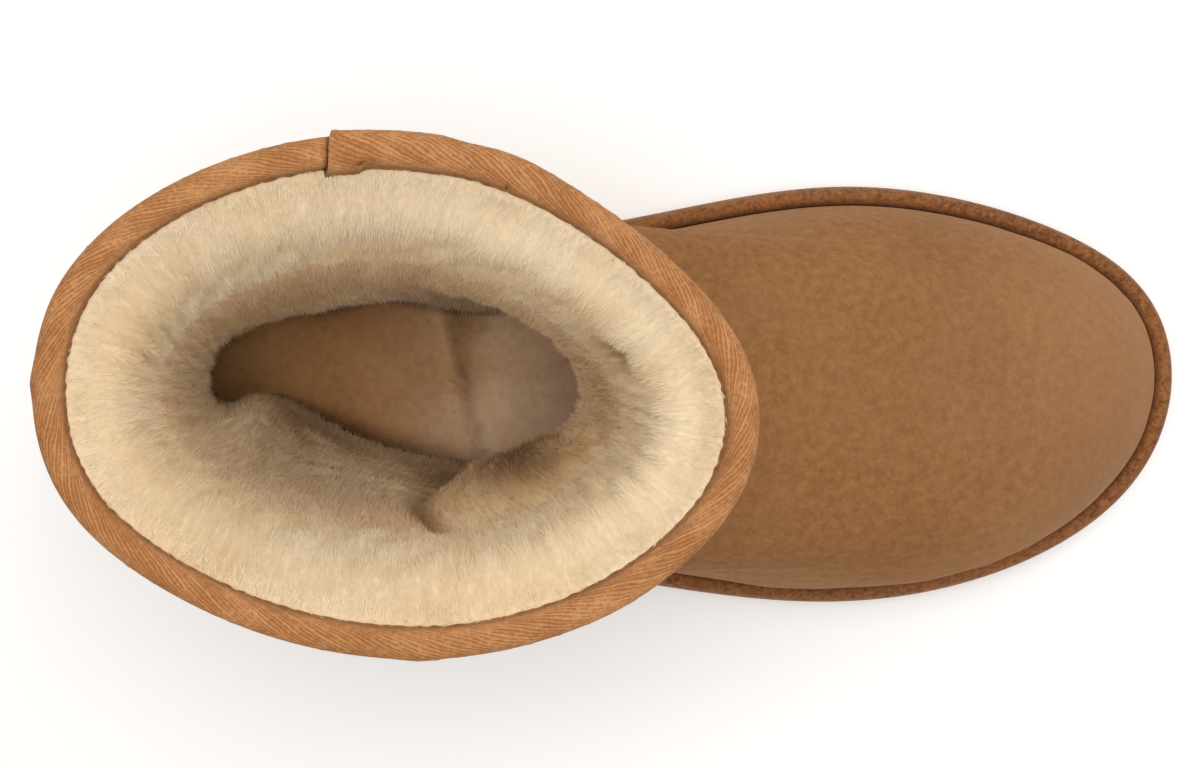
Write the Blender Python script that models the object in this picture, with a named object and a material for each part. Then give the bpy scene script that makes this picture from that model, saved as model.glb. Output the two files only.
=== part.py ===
"""A short sheepskin boot for the right foot, standing empty on its sole.

The boot is a loft. Closed rings run round it, from the welt line inside the
sole's lip up over the foot and the shaft to the collar. A ring is given by its
back point, its front point and how far it reaches to the big-toe side (medial)
and to the little-toe side (lateral) at named stations. Hide, pile, tape, seams
and heel counter are all offset from that one surface.

Metres. +X to the toe, +Y to the big-toe side, +Z up, the sole on z = 0.
"""

import math

import bmesh
import bpy
import numpy as np
from mathutils import Vector

# Driving dimensions of the sole
SOLE_LENGTH = 0.265
SOLE_WIDTH = 0.106
HEEL_THICKNESS = 0.023
BALL_THICKNESS = 0.016
TOE_THICKNESS = 0.0145
TOE_SPRING = 0.008
TOE_SPRING_START = 0.070
ARCH_RISE = 0.0025
LIP_WIDTH = 0.0048
LIP_HEIGHT = 0.0040
GROOVE_WIDTH = 0.0030
GROOVE_DEPTH = 0.0022
GROOVE_PITCH = 0.0110
GROOVE_SWING = 0.0035
GROOVE_BENDS = 5
TREAD_MARGIN = 0.0080

# Driving dimensions of the upper
INSTEP_HEIGHT = 0.105
ANKLE_HEIGHT = 0.132
ANKLE_LENGTH = 0.1200
ANKLE_WIDTH = 0.0870
ANKLE_CENTRE = -0.0610
BOOT_HEIGHT = 0.2075
COLLAR_LENGTH = 0.1401
COLLAR_WIDTH = 0.1000
COLLAR_CENTRE = -0.0532
COLLAR_SLOPE = 0.0030
HIDE_THICKNESS = 0.0020

# Driving dimensions of the lining, insole and trims
PILE_DEPTH = 0.0150
PILE_LUMP = 0.0011
PILE_EDGE = 0.0013
INSOLE_THICKNESS = 0.0080
INSOLE_BEVEL = 0.0015
TAPE_THICKNESS = 0.0009
TAPE_OUTSIDE_DROP = 0.0100
TAPE_INSIDE_DROP = 0.0028
TAPE_CROWN = 0.0012
TAPE_LAP = 0.0008
TAPE_LAP_LENGTH = 0.028
TAPE_LAP_TAPER = 0.0084
TAPE_LAP_INSIDE = 0.5
TAPE_JOIN = math.radians(80)
TAPE_STEP_TURN = 0.012
COUNTER_THICKNESS = 0.0016
COUNTER_HEIGHT = 0.088
COUNTER_REACH = 0.072
SEAM_WIDTH = 0.0034
SEAM_HEIGHT = 0.0015
SEAM_END_GAP = 0.0012
GAP = 0.0003

# The counter's upper edge, from its front foot to behind the heel: shares of
# its reach and of its height
COUNTER_EDGE = ((0.92, 0.45), (0.69, 0.80), (0.33, 0.97), (-0.18, 1.00))

# Across the tape's crown: share of the way over, and share of its rise
TAPE_CROWN_ROWS = ((0.12, 0.75), (0.50, 1.00), (0.88, 0.75))

# How finely the faceted solids follow the loft
COLUMNS = 40
SEAM_POINTS = 14
COUNTER_POINTS = 8
SIDES = (1, -1)

HALF_SOLE_LENGTH = SOLE_LENGTH / 2
HALF_SOLE_WIDTH = SOLE_WIDTH / 2
WELT_INSET = LIP_WIDTH + GAP
FULL_TURN = 2 * math.pi

# Stations round a ring, in degrees from its back point: the heel end, the
# widest part of the heel, the waist, the ball, the toe shoulder and the toe end
STATIONS = (0, 40, 70, 110, 145, 180)

# The sole's plan, as shares of half its width, and how far its two ends lie to
# the big-toe side
SOLE_MEDIAL = (1.32, 1.10, 0.720, 0.975, 1.155, 1.38)
SOLE_LATERAL = (1.32, 1.08, 0.920, 1.165, 1.340, 1.43)
SOLE_ENDS = (0.085, 0.096)

# Rings of the foot, from the bulge over the lip up to the instep. Back and
# front are shares of half the sole's length. Back rise and front rise are
# shares of the way from the footbed to the instep. The offsets and widths are
# shares of half the sole's width.
FOOT_PLACES = (
    # name, back, front, back rise, front rise, back offset, front offset
    ("bulge", -0.958, 0.937, 0.22, 0.19, 0.085, 0.095),
    ("toe cap", -0.956, 0.868, 0.40, 0.41, 0.085, 0.090),
    ("vamp front", -0.945, 0.690, 0.56, 0.60, 0.085, 0.060),
    ("vamp", -0.930, 0.385, 0.74, 0.785, 0.085, 0.030),
    ("instep", -0.917, 0.130, 0.97, 1.000, 0.085, 0.010),
)
FOOT_MEDIAL = (
    # name, heel end, heel, waist, ball, toe shoulder, toe end
    ("bulge", 1.22, 1.000, 0.625, 0.830, 1.030, 1.24),
    ("toe cap", 1.20, 0.975, 0.645, 0.780, 0.935, 1.12),
    ("vamp front", 1.13, 0.915, 0.680, 0.735, 0.865, 1.01),
    ("vamp", 1.06, 0.865, 0.725, 0.770, 0.865, 0.95),
    ("instep", 0.96, 0.840, 0.770, 0.780, 0.820, 0.86),
)
FOOT_LATERAL = (
    ("bulge", 1.22, 1.000, 0.815, 1.060, 1.255, 1.32),
    ("toe cap", 1.20, 0.975, 0.800, 1.000, 1.170, 1.19),
    ("vamp front", 1.13, 0.915, 0.785, 0.905, 1.070, 1.06),
    ("vamp", 1.06, 0.865, 0.780, 0.860, 0.975, 0.96),
    ("instep", 0.96, 0.840, 0.790, 0.820, 0.865, 0.87),
)

# Rings of the shaft. Collar share says how far the ring has opened from the
# ankle's length, width and centre to the collar's. Rise is the share of the
# way from the ankle to the collar. Widths are shares of half the ring's width.
SHAFT_PLACES = (
    # name, collar share, rise, back offset, front offset
    ("ankle", 0.00, 0.00, 0.090, 0.010),
    ("mid shaft", 0.42, 0.50, 0.095, -0.010),
    ("rim", 1.00, 1.00, 0.080, -0.028),
)
SHAFT_MEDIAL = (
    ("ankle", 1.06, 1.00, 0.985, 0.985, 0.990, 1.00),
    ("mid shaft", 1.02, 1.00, 1.000, 0.990, 0.950, 0.95),
    ("rim", 0.96, 1.045, 1.035, 1.010, 0.900, 0.88),
)
SHAFT_LATERAL = (
    ("ankle", 1.06, 1.00, 0.985, 0.985, 1.000, 1.00),
    ("mid shaft", 1.05, 0.99, 0.975, 0.985, 0.970, 0.96),
    ("rim", 1.24, 0.97, 0.960, 0.960, 0.915, 0.92),
)

# The sole's side, from the ground to the lip: share of its height, and how far
# it stands inside the outline as a share of the lip's width
SOLE_SIDE = (
    (0.00, 0.62),
    (0.05, 0.30),
    (0.14, 0.12),
    (0.27, 0.06),
    (0.31, 0.24),
    (0.36, 0.24),
    (0.40, 0.04),
    (0.50, 0.02),
    (0.54, 0.21),
    (0.59, 0.21),
    (0.63, 0.00),
    (0.82, 0.00),
    (0.94, 0.13),
    (1.00, 0.42),
    (0.99, 0.72),
    (0.94, 1.00),
)

# Depth below the rim, in the pile's own depth, and how far the pile has puffed
PILE_PUFF = (
    (0.000, 0.00),
    (0.205, 0.00),
    (0.245, 0.34),
    (0.330, 0.57),
    (0.520, 0.79),
    (0.950, 0.96),
    (2.200, 1.01),
)

# Where the pile stands thicker or thinner: the middle turn and its spread, in
# degrees, the shares of the loft's height where it starts, is full and is gone
# again (below zero: never), and the extra depth as a share of the pile's. It
# is gone over the last share of the height.
PILE_SWELL_FADE = 0.2
PILE_SWELLS = (
    # name, turn, spread, start, full, gone, extra
    ("little-toe side", 272, 34, 0.88, 0.55, 0.18, 0.08),
    ("heel's outer corner", 322, 16, 0.80, 0.40, -1.0, 0.66),
    ("arch", 84, 30, 0.50, 0.25, -1.0, -0.32),
    ("outer instep", 222, 22, 0.85, 0.66, 0.30, 0.36),
    ("inner instep", 160, 34, 0.85, 0.66, 0.30, -0.20),
    ("heel", 0, 20, 0.50, 0.25, -1.0, -0.17),
    ("before the outer seam", 242, 12, 0.85, 0.66, 0.22, 0.26),
)

# Rows of the faceted loft, as shares of the way from the lip's top to the tape
LOFT_ROWS = (0.0, 0.05, 0.095, 0.135, 0.175, 0.215, 0.26, 0.31, 0.37, 0.43, 0.50, 0.57, 0.65, 0.75, 0.87)
TONES = {
    "suede": ("#97683e", 0.95),
    "foam": ("#7a4c29", 0.70),
    "wool": ("#e6cfaa", 1.00),
    "tape": ("#b37c4c", 0.90),
    "felt": ("#86643f", 1.00),
}


def clear_scene():
    for thing in list(bpy.data.objects):
        bpy.data.objects.remove(thing)


def linear_from_hex(text):
    """Turns an sRGB hex colour into linear red, green, blue and alpha."""
    channels = [int(text[i : i + 2], 16) / 255 for i in (1, 3, 5)]
    return [c / 12.92 if c <= 0.04045 else ((c + 0.055) / 1.055) ** 2.4 for c in channels] + [1.0]


def material(name):
    """A plain Principled material with the tone's colour and roughness."""
    tone, roughness = TONES[name]
    made = bpy.data.materials.new(name)
    made.use_nodes = True
    shader = made.node_tree.nodes["Principled BSDF"]
    shader.inputs["Base Color"].default_value = linear_from_hex(tone)
    shader.inputs["Roughness"].default_value = roughness
    shader.inputs["Metallic"].default_value = 0.0
    return made


def smooth_rows(knots, rows, places):
    """Natural cubic spline through rows given at knots, read at places."""
    knots = np.asarray(knots, float)
    rows = np.asarray(rows, float)
    places = np.atleast_1d(np.asarray(places, float))
    flat = rows.reshape(len(knots), -1)
    step = np.diff(knots)
    system = np.eye(len(knots))
    right = np.zeros_like(flat)
    for i in range(1, len(knots) - 1):
        system[i, i - 1 : i + 2] = step[i - 1], 2 * (step[i - 1] + step[i]), step[i]
        right[i] = 6 * ((flat[i + 1] - flat[i]) / step[i] - (flat[i] - flat[i - 1]) / step[i - 1])
    bend = np.linalg.solve(system, right)
    left = np.clip(np.searchsorted(knots, places) - 1, 0, len(knots) - 2)
    width = step[left][:, None]
    a = (knots[left + 1] - places)[:, None] / width
    b = 1 - a
    curve = a * flat[left] + b * flat[left + 1]
    curve += ((a**3 - a) * bend[left] + (b**3 - b) * bend[left + 1]) * width**2 / 6
    return curve.reshape((len(places),) + rows.shape[1:])


def reach(medial, lateral, turn):
    """Half-width round a ring, smooth through both sides' stations."""
    degrees = np.array(STATIONS + tuple(360 - s for s in STATIONS[-2:0:-1]), float)
    values = np.array(tuple(medial) + tuple(lateral[-2:0:-1]), float)
    values[0] = (medial[0] + lateral[0]) / 2
    values[len(STATIONS) - 1] = (medial[-1] + lateral[-1]) / 2
    knots = np.concatenate([degrees - 360, degrees, degrees + 360])
    return smooth_rows(knots, np.tile(values, 3), np.degrees(np.mod(turn, FULL_TURN)))


def plan_ring(back, front, medial, lateral, turn):
    """A closed curve in plan from a back point to a front point: the share
    along is that of a circle, and the sine of the turn times the reach is the
    distance to the side of the line between the two points."""
    share = (1 - np.cos(turn)) / 2
    x = back[0] + (front[0] - back[0]) * share
    y = back[1] + (front[1] - back[1]) * share + np.sin(turn) * reach(medial, lateral, turn)
    return np.stack([x, y], axis=-1), share


def sole_outline(turn):
    """The sole's outline in plan."""
    back = (-HALF_SOLE_LENGTH, SOLE_ENDS[0] * HALF_SOLE_WIDTH)
    front = (HALF_SOLE_LENGTH, SOLE_ENDS[1] * HALF_SOLE_WIDTH)
    medial = [w * HALF_SOLE_WIDTH for w in SOLE_MEDIAL]
    lateral = [w * HALF_SOLE_WIDTH for w in SOLE_LATERAL]
    return plan_ring(back, front, medial, lateral, turn)[0]


def inset_outline(turn, inset):
    """The sole's outline moved inwards, square to itself."""
    tiny = 1e-4
    along = sole_outline(turn + tiny) - sole_outline(turn - tiny)
    along /= np.linalg.norm(along, axis=-1, keepdims=True)
    # The ring runs from the back over the medial side, so its left is outside
    outwards = np.stack([-along[..., 1], along[..., 0]], axis=-1)
    return sole_outline(turn) - outwards * np.asarray(inset)[..., None]


def eased(low, high, x):
    """0 below low, 1 above high, smooth between."""
    t = np.clip((x - low) / (high - low), 0, 1)
    return t * t * (3 - 2 * t)


def ground_at(x):
    """Height of the sole's underside: flat heel and ball, raised arch, toe spring."""
    arch_back, arch_front = -0.42 * HALF_SOLE_LENGTH, 0.02 * HALF_SOLE_LENGTH
    arch = np.clip((x - arch_back) / (arch_front - arch_back), 0, 1)
    spring = np.clip((x - TOE_SPRING_START) / (HALF_SOLE_LENGTH - TOE_SPRING_START), 0, 1)
    return ARCH_RISE * np.sin(math.pi * arch) ** 2 + TOE_SPRING * spring**2


def footbed_at(x):
    """Height of the sole's upper face, inside the lip."""
    to_ball = eased(-0.55 * HALF_SOLE_LENGTH, 0.15 * HALF_SOLE_LENGTH, x)
    to_toe = eased(0.35 * HALF_SOLE_LENGTH, HALF_SOLE_LENGTH, x)
    thickness = HEEL_THICKNESS + (BALL_THICKNESS - HEEL_THICKNESS) * to_ball
    thickness = thickness + (TOE_THICKNESS - BALL_THICKNESS) * to_toe
    spring = np.clip((x - TOE_SPRING_START) / (HALF_SOLE_LENGTH - TOE_SPRING_START), 0, 1)
    return thickness + TOE_SPRING * spring**2


def foot_ring(i, turn):
    """One of the foot's rings as points."""
    _, back, front, back_rise, front_rise, back_offset, front_offset = FOOT_PLACES[i]
    ends = (back * HALF_SOLE_LENGTH, front * HALF_SOLE_LENGTH)
    offsets = (back_offset * HALF_SOLE_WIDTH, front_offset * HALF_SOLE_WIDTH)
    medial = [w * HALF_SOLE_WIDTH for w in FOOT_MEDIAL[i][1:]]
    lateral = [w * HALF_SOLE_WIDTH for w in FOOT_LATERAL[i][1:]]
    plan, share = plan_ring((ends[0], offsets[0]), (ends[1], offsets[1]), medial, lateral, turn)
    low = footbed_at(np.array(ends))
    heights = low + (INSTEP_HEIGHT - low) * np.array([back_rise, front_rise])
    z = heights[0] + (heights[1] - heights[0]) * share
    return np.column_stack([plan, z])


def shaft_ring(i, turn):
    """One of the shaft's rings as points."""
    _, opened, rise, back_offset, front_offset = SHAFT_PLACES[i]
    length = ANKLE_LENGTH + (COLLAR_LENGTH - ANKLE_LENGTH) * opened
    width = ANKLE_WIDTH + (COLLAR_WIDTH - ANKLE_WIDTH) * opened
    centre = ANKLE_CENTRE + (COLLAR_CENTRE - ANKLE_CENTRE) * opened
    medial = [w * width / 2 for w in SHAFT_MEDIAL[i][1:]]
    lateral = [w * width / 2 for w in SHAFT_LATERAL[i][1:]]
    back = (centre - length / 2, back_offset * width / 2)
    front = (centre + length / 2, front_offset * width / 2)
    plan, share = plan_ring(back, front, medial, lateral, turn)
    slope = COLLAR_SLOPE * (2 - opened)
    z = ANKLE_HEIGHT + (BOOT_HEIGHT - COLLAR_SLOPE / 2 - ANKLE_HEIGHT) * rise + slope * (share - 0.5)
    return np.column_stack([plan, z])


def welt_ring(turn, rise):
    """The upper's foot stands inside the lip, a given rise over the footbed."""
    plan = inset_outline(turn, np.full_like(turn, WELT_INSET))
    return np.column_stack([plan, footbed_at(plan[:, 0]) + rise])


def key_rings(turn):
    """All the rings that the loft passes through, from the welt line up."""
    rings = [welt_ring(turn, GAP), welt_ring(turn, LIP_HEIGHT)]
    rings += [foot_ring(i, turn) for i in range(len(FOOT_PLACES))]
    rings += [shaft_ring(i, turn) for i in range(len(SHAFT_PLACES))]
    return np.array(rings)


def loft_knots():
    """Mean distance from ring to ring, summed from the welt line up."""
    turn = np.linspace(0, FULL_TURN, 72, endpoint=False)
    steps = np.linalg.norm(np.diff(key_rings(turn), axis=0), axis=2).mean(1)
    return np.concatenate([[0], np.cumsum(steps)])


KNOTS = loft_knots()
LOFT_HEIGHT = KNOTS[-1]


def loft(turn, level):
    """Points of the upper's outside. Level is the mean distance from the welt
    line, in metres. The answer has a row for each level, a column for each turn."""
    return smooth_rows(KNOTS, key_rings(turn), level)


def wall_direction(turn, level):
    """Outward normals of the loft, laid level at the welt line and at the rim."""
    tiny_turn, tiny_level = 2e-3, 2e-4
    level = np.asarray(level, float)
    above = loft(turn, np.minimum(level + tiny_level, LOFT_HEIGHT))
    below = loft(turn, np.maximum(level - tiny_level, 0))
    round_ring = loft(turn + tiny_turn, level) - loft(turn - tiny_turn, level)
    normal = np.cross(above - below, round_ring)
    normal /= np.linalg.norm(normal, axis=2, keepdims=True)
    from_welt = eased(KNOTS[1], KNOTS[2], level)
    from_rim = eased(0, TAPE_OUTSIDE_DROP, LOFT_HEIGHT - level)
    normal[..., 2] *= (from_welt * from_rim)[:, None]
    return normal / np.linalg.norm(normal, axis=2, keepdims=True)


def offset_loft(turn, level, distance):
    """The loft moved outwards by one distance, or by one for each column or point."""
    grid = np.broadcast_to(distance, (len(level), len(turn)))
    return loft(turn, level) + wall_direction(turn, level) * grid[..., None]


def column_turns():
    """Turn of each column of the faceted loft, evenly round it."""
    return np.linspace(0, FULL_TURN, COLUMNS, endpoint=False)


def row_levels():
    """Levels of the faceted loft's rows, closer together at the lip and the rim."""
    shaft = LOFT_HEIGHT - TAPE_OUTSIDE_DROP - KNOTS[1]
    lower = [KNOTS[1] + share * shaft for share in LOFT_ROWS]
    upper = [LOFT_HEIGHT - drop for drop in (TAPE_OUTSIDE_DROP, TAPE_INSIDE_DROP, 0)]
    return np.array([0.0] + lower + upper)


def band(rows, closed):
    """Triangles between the rows of a grid that closes on itself along each row.
    Every quad is split from its lower left to its upper right, seen from
    outside, so that the facets of two walls that lie together stay parallel."""
    count, columns = rows.shape[:2]
    faces = []
    for r in range(count if closed else count - 1):
        near, far = r * columns, (r + 1) % count * columns
        rising = rows[(r + 1) % count, :, 2].mean() > rows[r, :, 2].mean()
        for c in range(columns):
            d = (c + 1) % columns
            corners = (near + c, far + c, far + d, near + d)
            first = 0 if rising else 1
            a, b, e, f = corners[first:] + corners[:first]
            faces += [(a, b, e), (a, e, f)]
    return faces


def add_mesh(name, points, faces, tone, collection):
    """A mesh object with outward faces, shaded smooth except at sharp edges."""
    mesh = bpy.data.meshes.new(name)
    mesh.from_pydata([tuple(p) for p in points], [], faces)
    work = bmesh.new()
    work.from_mesh(mesh)
    bmesh.ops.recalc_face_normals(work, faces=work.faces)
    if work.calc_volume(signed=True) < 0:
        bmesh.ops.reverse_faces(work, faces=work.faces)
    work.to_mesh(mesh)
    work.free()
    mesh.shade_smooth()
    mesh.set_sharp_from_angle(angle=math.radians(40))
    made = bpy.data.objects.new(name, mesh)
    collection.objects.link(made)
    if tone:
        mesh.materials.append(tone)
    return made


def ring_solid(name, profile, tone, collection):
    """A closed ring: profile holds grids of points, one row each, which run
    round the wall's section and meet again at the first."""
    rows = np.array(profile)
    return add_mesh(name, rows.reshape(-1, 3), band(rows, closed=True), tone, collection)


def wall_profile(outside, inside):
    """Section of a wall between two grids: up the outside and down the inside,
    with no point of it lower than the footbed."""
    profile = np.concatenate([outside, inside[::-1]])
    profile[..., 2] = np.maximum(profile[..., 2], footbed_at(profile[..., 0]) + GAP)
    return profile


def make_upper(collection, tone):
    """The hide: one hollow wall, open at the collar and underneath."""
    turn, levels = column_turns(), row_levels()
    profile = wall_profile(loft(turn, levels), offset_loft(turn, levels, -HIDE_THICKNESS))
    return ring_solid("upper", profile, tone, collection)


def pile_levels():
    """Rows of the lining: the hide's rows low down, and closer ones where it puffs."""
    puffed = [LOFT_HEIGHT - share * PILE_DEPTH for share, _ in PILE_PUFF]
    lower = [level for level in row_levels() if level < min(puffed) - 0.4 * PILE_DEPTH]
    return np.array(sorted(lower + puffed))


def pile_swell(turn, levels):
    """Extra depth of the pile: soft humps and hollows round the ring, each grown
    between its start and full levels and faded out again over its gone level."""
    share = levels[:, None] / LOFT_HEIGHT
    extra = 0
    for _, middle, spread, start, full, gone, depth in PILE_SWELLS:
        away = (np.degrees(turn)[None, :] - middle + 180) % 360 - 180
        grown = (1 - eased(full, start, share)) * eased(gone, gone + PILE_SWELL_FADE, share)
        extra = extra + depth * np.exp(-((away / spread) ** 2)) * grown
    return PILE_DEPTH * extra


def pile_depth(turn, levels):
    """Depth of the pile over the grid: thin where the tape grips it, puffed
    below that, swollen in places, with locks that fade out at the insole."""
    drops = (LOFT_HEIGHT - levels) / PILE_DEPTH
    puff = np.interp(drops, [p[0] for p in PILE_PUFF], [p[1] for p in PILE_PUFF])
    depth = PILE_EDGE + (PILE_DEPTH - PILE_EDGE) * puff
    fade = eased(KNOTS[2], KNOTS[3], levels) * eased(0.3 * PILE_DEPTH, PILE_DEPTH, LOFT_HEIGHT - levels)
    height = levels[:, None] / LOFT_HEIGHT
    locks = np.sin(11 * turn[None, :] + 9 * height) * np.cos(4 * turn[None, :] - 26 * height)
    return depth[:, None] + pile_swell(turn, levels) + PILE_LUMP * fade[:, None] * locks


def make_lining(collection, tone):
    """The wool pile as one soft hollow solid inside the hide."""
    turn, levels = column_turns(), pile_levels()
    back = -(HIDE_THICKNESS + GAP)
    outside = offset_loft(turn, row_levels(), back)
    inside = offset_loft(turn, levels, back - pile_depth(turn, levels))
    profile = wall_profile(outside, inside)
    return ring_solid("fleece_lining", profile, tone, collection)


def make_insole(collection, tone):
    """The insole fills the floor inside the pile, with a bevelled top edge. Its
    side runs up the pile's lowest facets, a clearance inside them."""
    turn = column_turns()
    levels = pile_levels()[:3]
    depth = HIDE_THICKNESS + pile_depth(turn, levels) + 3 * GAP
    low, knee, above = offset_loft(turn, levels, -depth)
    low[:, 2] = footbed_at(low[:, 0]) + GAP
    climb = (low[:, 2] + INSOLE_THICKNESS - INSOLE_BEVEL - knee[:, 2]) / (above - knee)[:, 2]
    shoulder = knee + (above - knee) * climb[:, None]
    along = np.roll(shoulder, -1, axis=0) - np.roll(shoulder, 1, axis=0)
    inwards = np.column_stack([along[:, 1], -along[:, 0]])
    inwards /= np.linalg.norm(inwards, axis=1, keepdims=True)
    top = shoulder.copy()
    top[:, :2] += inwards * INSOLE_BEVEL
    top[:, 2] += INSOLE_BEVEL
    return capped_solid("insole", [low, knee, shoulder, top], tone, collection)


def capped_solid(name, rings, tone, collection):
    """A stack of rings closed at both ends by ladders of faces across it."""
    rows = np.array(rings)
    count, columns = rows.shape[:2]
    faces = band(rows, closed=False)
    half = columns // 2
    for base in (0, (count - 1) * columns):
        for c in range(half):
            mirror_c, mirror_d = (columns - c) % columns, columns - c - 1
            corners = [base + c, base + c + 1, base + mirror_d, base + mirror_c]
            kept = list(dict.fromkeys(corners))
            faces.append(tuple(kept))
    return add_mesh(name, rows.reshape(-1, 3), faces, tone, collection)


def add_cutter(name, points, faces, collection):
    """A solid that only cuts: never rendered, and drawn as wires."""
    cutter = add_mesh(name, points, faces, None, collection)
    cutter.hide_render = True
    cutter.display_type = "WIRE"
    return cutter


def prism(name, outline, near, far, collection):
    """A flat side-view outline of (x, z) points, pushed along Y from near to far."""
    points = [(x, near, z) for x, z in outline] + [(x, far, z) for x, z in outline]
    count = len(outline)
    faces = [tuple(range(count)), tuple(range(2 * count - 1, count - 1, -1))]
    faces += [(i, (i + 1) % count, count + (i + 1) % count, count + i) for i in range(count)]
    return add_cutter(name, points, faces, collection)


def boolean(target, cutter, operation):
    step = target.modifiers.new(cutter.name, "BOOLEAN")
    step.operation = operation
    step.object = cutter
    step.solver = "EXACT"


def tread_lines():
    """Places of the tread's grooves along the sole: the heel's and the ball's."""
    heel = np.arange(-0.875 * HALF_SOLE_LENGTH, -0.46 * HALF_SOLE_LENGTH, GROOVE_PITCH)
    ball = np.arange(0.10 * HALF_SOLE_LENGTH, 0.86 * HALF_SOLE_LENGTH, GROOVE_PITCH)
    return list(heel) + list(ball)


def span_at(x):
    """How far the tread reaches to each side at x, inside the sole's margin."""
    half_ring = np.linspace(0, math.pi, 120)
    reaches = []
    for side in (-1, 1):
        edge = inset_outline(side * half_ring, np.full(120, TREAD_MARGIN))
        reaches.append(np.interp(x, edge[:, 0], edge[:, 1]))
    return reaches


def groove_channel(x):
    """A zigzag channel across the sole at x, cut upwards from below the ground."""
    ys = np.linspace(*span_at(x), GROOVE_BENDS)
    swing = GROOVE_SWING * (np.arange(GROOVE_BENDS) % 2 - 0.5)
    centre = np.column_stack([x + swing, ys])
    roof = ground_at(centre[:, 0]) + GROOVE_DEPTH
    floor = np.full(GROOVE_BENDS, -GROOVE_DEPTH)
    aside = np.array([GROOVE_WIDTH / 2, 0])
    section = ((-aside, floor), (aside, floor), (aside, roof), (-aside, roof))
    points = np.concatenate([np.column_stack([centre + shift, height]) for shift, height in section])
    faces = [tuple(range(0, 4 * GROOVE_BENDS, GROOVE_BENDS))]
    faces.append(tuple(range(4 * GROOVE_BENDS - 1, 0, -GROOVE_BENDS)))
    for r in range(4):
        near, far = r * GROOVE_BENDS, (r + 1) % 4 * GROOVE_BENDS
        faces += [(near + i, near + i + 1, far + i + 1, far + i) for i in range(GROOVE_BENDS - 1)]
    return points, faces


def make_outsole(collection, cutters, tone):
    """The moulded sole unit: ribbed side, rounded lip, footbed and zigzag tread."""
    turn = column_turns()
    rings = []
    for share, inset in SOLE_SIDE:
        plan = inset_outline(turn, np.full_like(turn, inset * LIP_WIDTH))
        low = ground_at(plan[:, 0])
        high = footbed_at(plan[:, 0]) + LIP_HEIGHT
        rings.append(np.column_stack([plan, low + (high - low) * share]))
    bed = inset_outline(turn, np.full_like(turn, LIP_WIDTH))
    rings.append(np.column_stack([bed, footbed_at(bed[:, 0])]))
    sole = capped_solid("outsole", rings, tone, collection)
    points, faces = [], []
    for x in tread_lines():
        channel, channel_faces = groove_channel(x)
        faces += [tuple(corner + len(points) for corner in face) for face in channel_faces]
        points += list(channel)
    boolean(sole, add_cutter("tread_grooves", points, faces, cutters), "DIFFERENCE")


def lap_thickness(turn):
    """Extra thickness where the tape's end laps over its start: a sharp step up
    on the big-toe side, and a soft one down where the hidden end lies."""
    half_collar = COLLAR_LENGTH / 2
    full, stretch = (TAPE_LAP_LENGTH - TAPE_LAP_TAPER) / half_collar, TAPE_LAP_LENGTH / half_collar
    after = turn - TAPE_JOIN
    raised = np.where(after >= -1e-9, 1.0, 0.0)
    return TAPE_LAP * raised * (1 - eased(full, stretch, after))


def tape_turns():
    """The loft's columns, with a close pair at the lap's step."""
    turns = column_turns()
    return np.sort(np.concatenate([turns, [TAPE_JOIN - TAPE_STEP_TURN, TAPE_JOIN]]))


def make_binding(collection, tone):
    """Folded tape over the rim, a U in section, with its lapped end."""
    turn = tape_turns()
    lap = lap_thickness(turn)
    rim = LOFT_HEIGHT
    outer = np.array([rim - TAPE_OUTSIDE_DROP, rim - TAPE_INSIDE_DROP, rim])
    inner = np.array([rim, rim - TAPE_INSIDE_DROP])
    grip = HIDE_THICKNESS + GAP + PILE_EDGE + GAP
    out_face = offset_loft(turn, outer, GAP + TAPE_THICKNESS + lap)
    out_back = offset_loft(turn, outer, GAP)
    in_face = offset_loft(turn, inner, -(grip + TAPE_THICKNESS + TAPE_LAP_INSIDE * lap))
    in_back = offset_loft(turn, inner, -grip)
    base = loft(turn, [rim])[0]
    crown = []
    for share, rise in TAPE_CROWN_ROWS:
        across = out_face[-1] + (in_face[0] - out_face[-1]) * share
        across[:, 2] = base[:, 2] + GAP + TAPE_THICKNESS + rise * TAPE_CROWN + lap
        crown.append(across)
    under = []
    for edge in (in_back[0], out_back[-1]):
        low = edge.copy()
        low[:, 2] = base[:, 2] + GAP
        under.append(low)
    profile = list(out_face) + crown + list(in_face) + [in_back[1], under[0], under[1], out_back[1], out_back[0]]
    return ring_solid("collar_binding", profile, tone, collection)


def side_line(*bends):
    """A smooth side-view line through a few (x, z) points."""
    knots = np.concatenate([[0], np.cumsum(np.linalg.norm(np.diff(np.array(bends), axis=0), axis=1))])
    return smooth_rows(knots, bends, np.linspace(0, knots[-1], SEAM_POINTS))


def strip_outline(line, width):
    """A side-view line given a width, as a closed outline."""
    along = np.gradient(line, axis=0)
    along /= np.linalg.norm(along, axis=1, keepdims=True)
    across = np.column_stack([-along[:, 1], along[:, 0]]) * width / 2
    return [tuple(p) for p in line + across] + [tuple(p) for p in (line - across)[::-1]]


def lip_top(x):
    return float(footbed_at(np.array(x)) + LIP_HEIGHT)


def side_seam_line():
    """Side view of the shaft's seam, from the sole's lip to under the tape."""
    foot_x = -0.300 * HALF_SOLE_LENGTH
    top_x = COLLAR_CENTRE + 0.115 * COLLAR_LENGTH
    top_z = BOOT_HEIGHT - COLLAR_SLOPE / 2 - TAPE_OUTSIDE_DROP - SEAM_END_GAP
    return side_line(
        (foot_x, lip_top(foot_x) + SEAM_END_GAP),
        (-0.345 * HALF_SOLE_LENGTH, 0.50 * INSTEP_HEIGHT),
        (-0.385 * HALF_SOLE_LENGTH, 0.86 * INSTEP_HEIGHT),
        (-0.375 * HALF_SOLE_LENGTH, 1.09 * ANKLE_HEIGHT),
        (top_x, top_z),
    )


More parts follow.
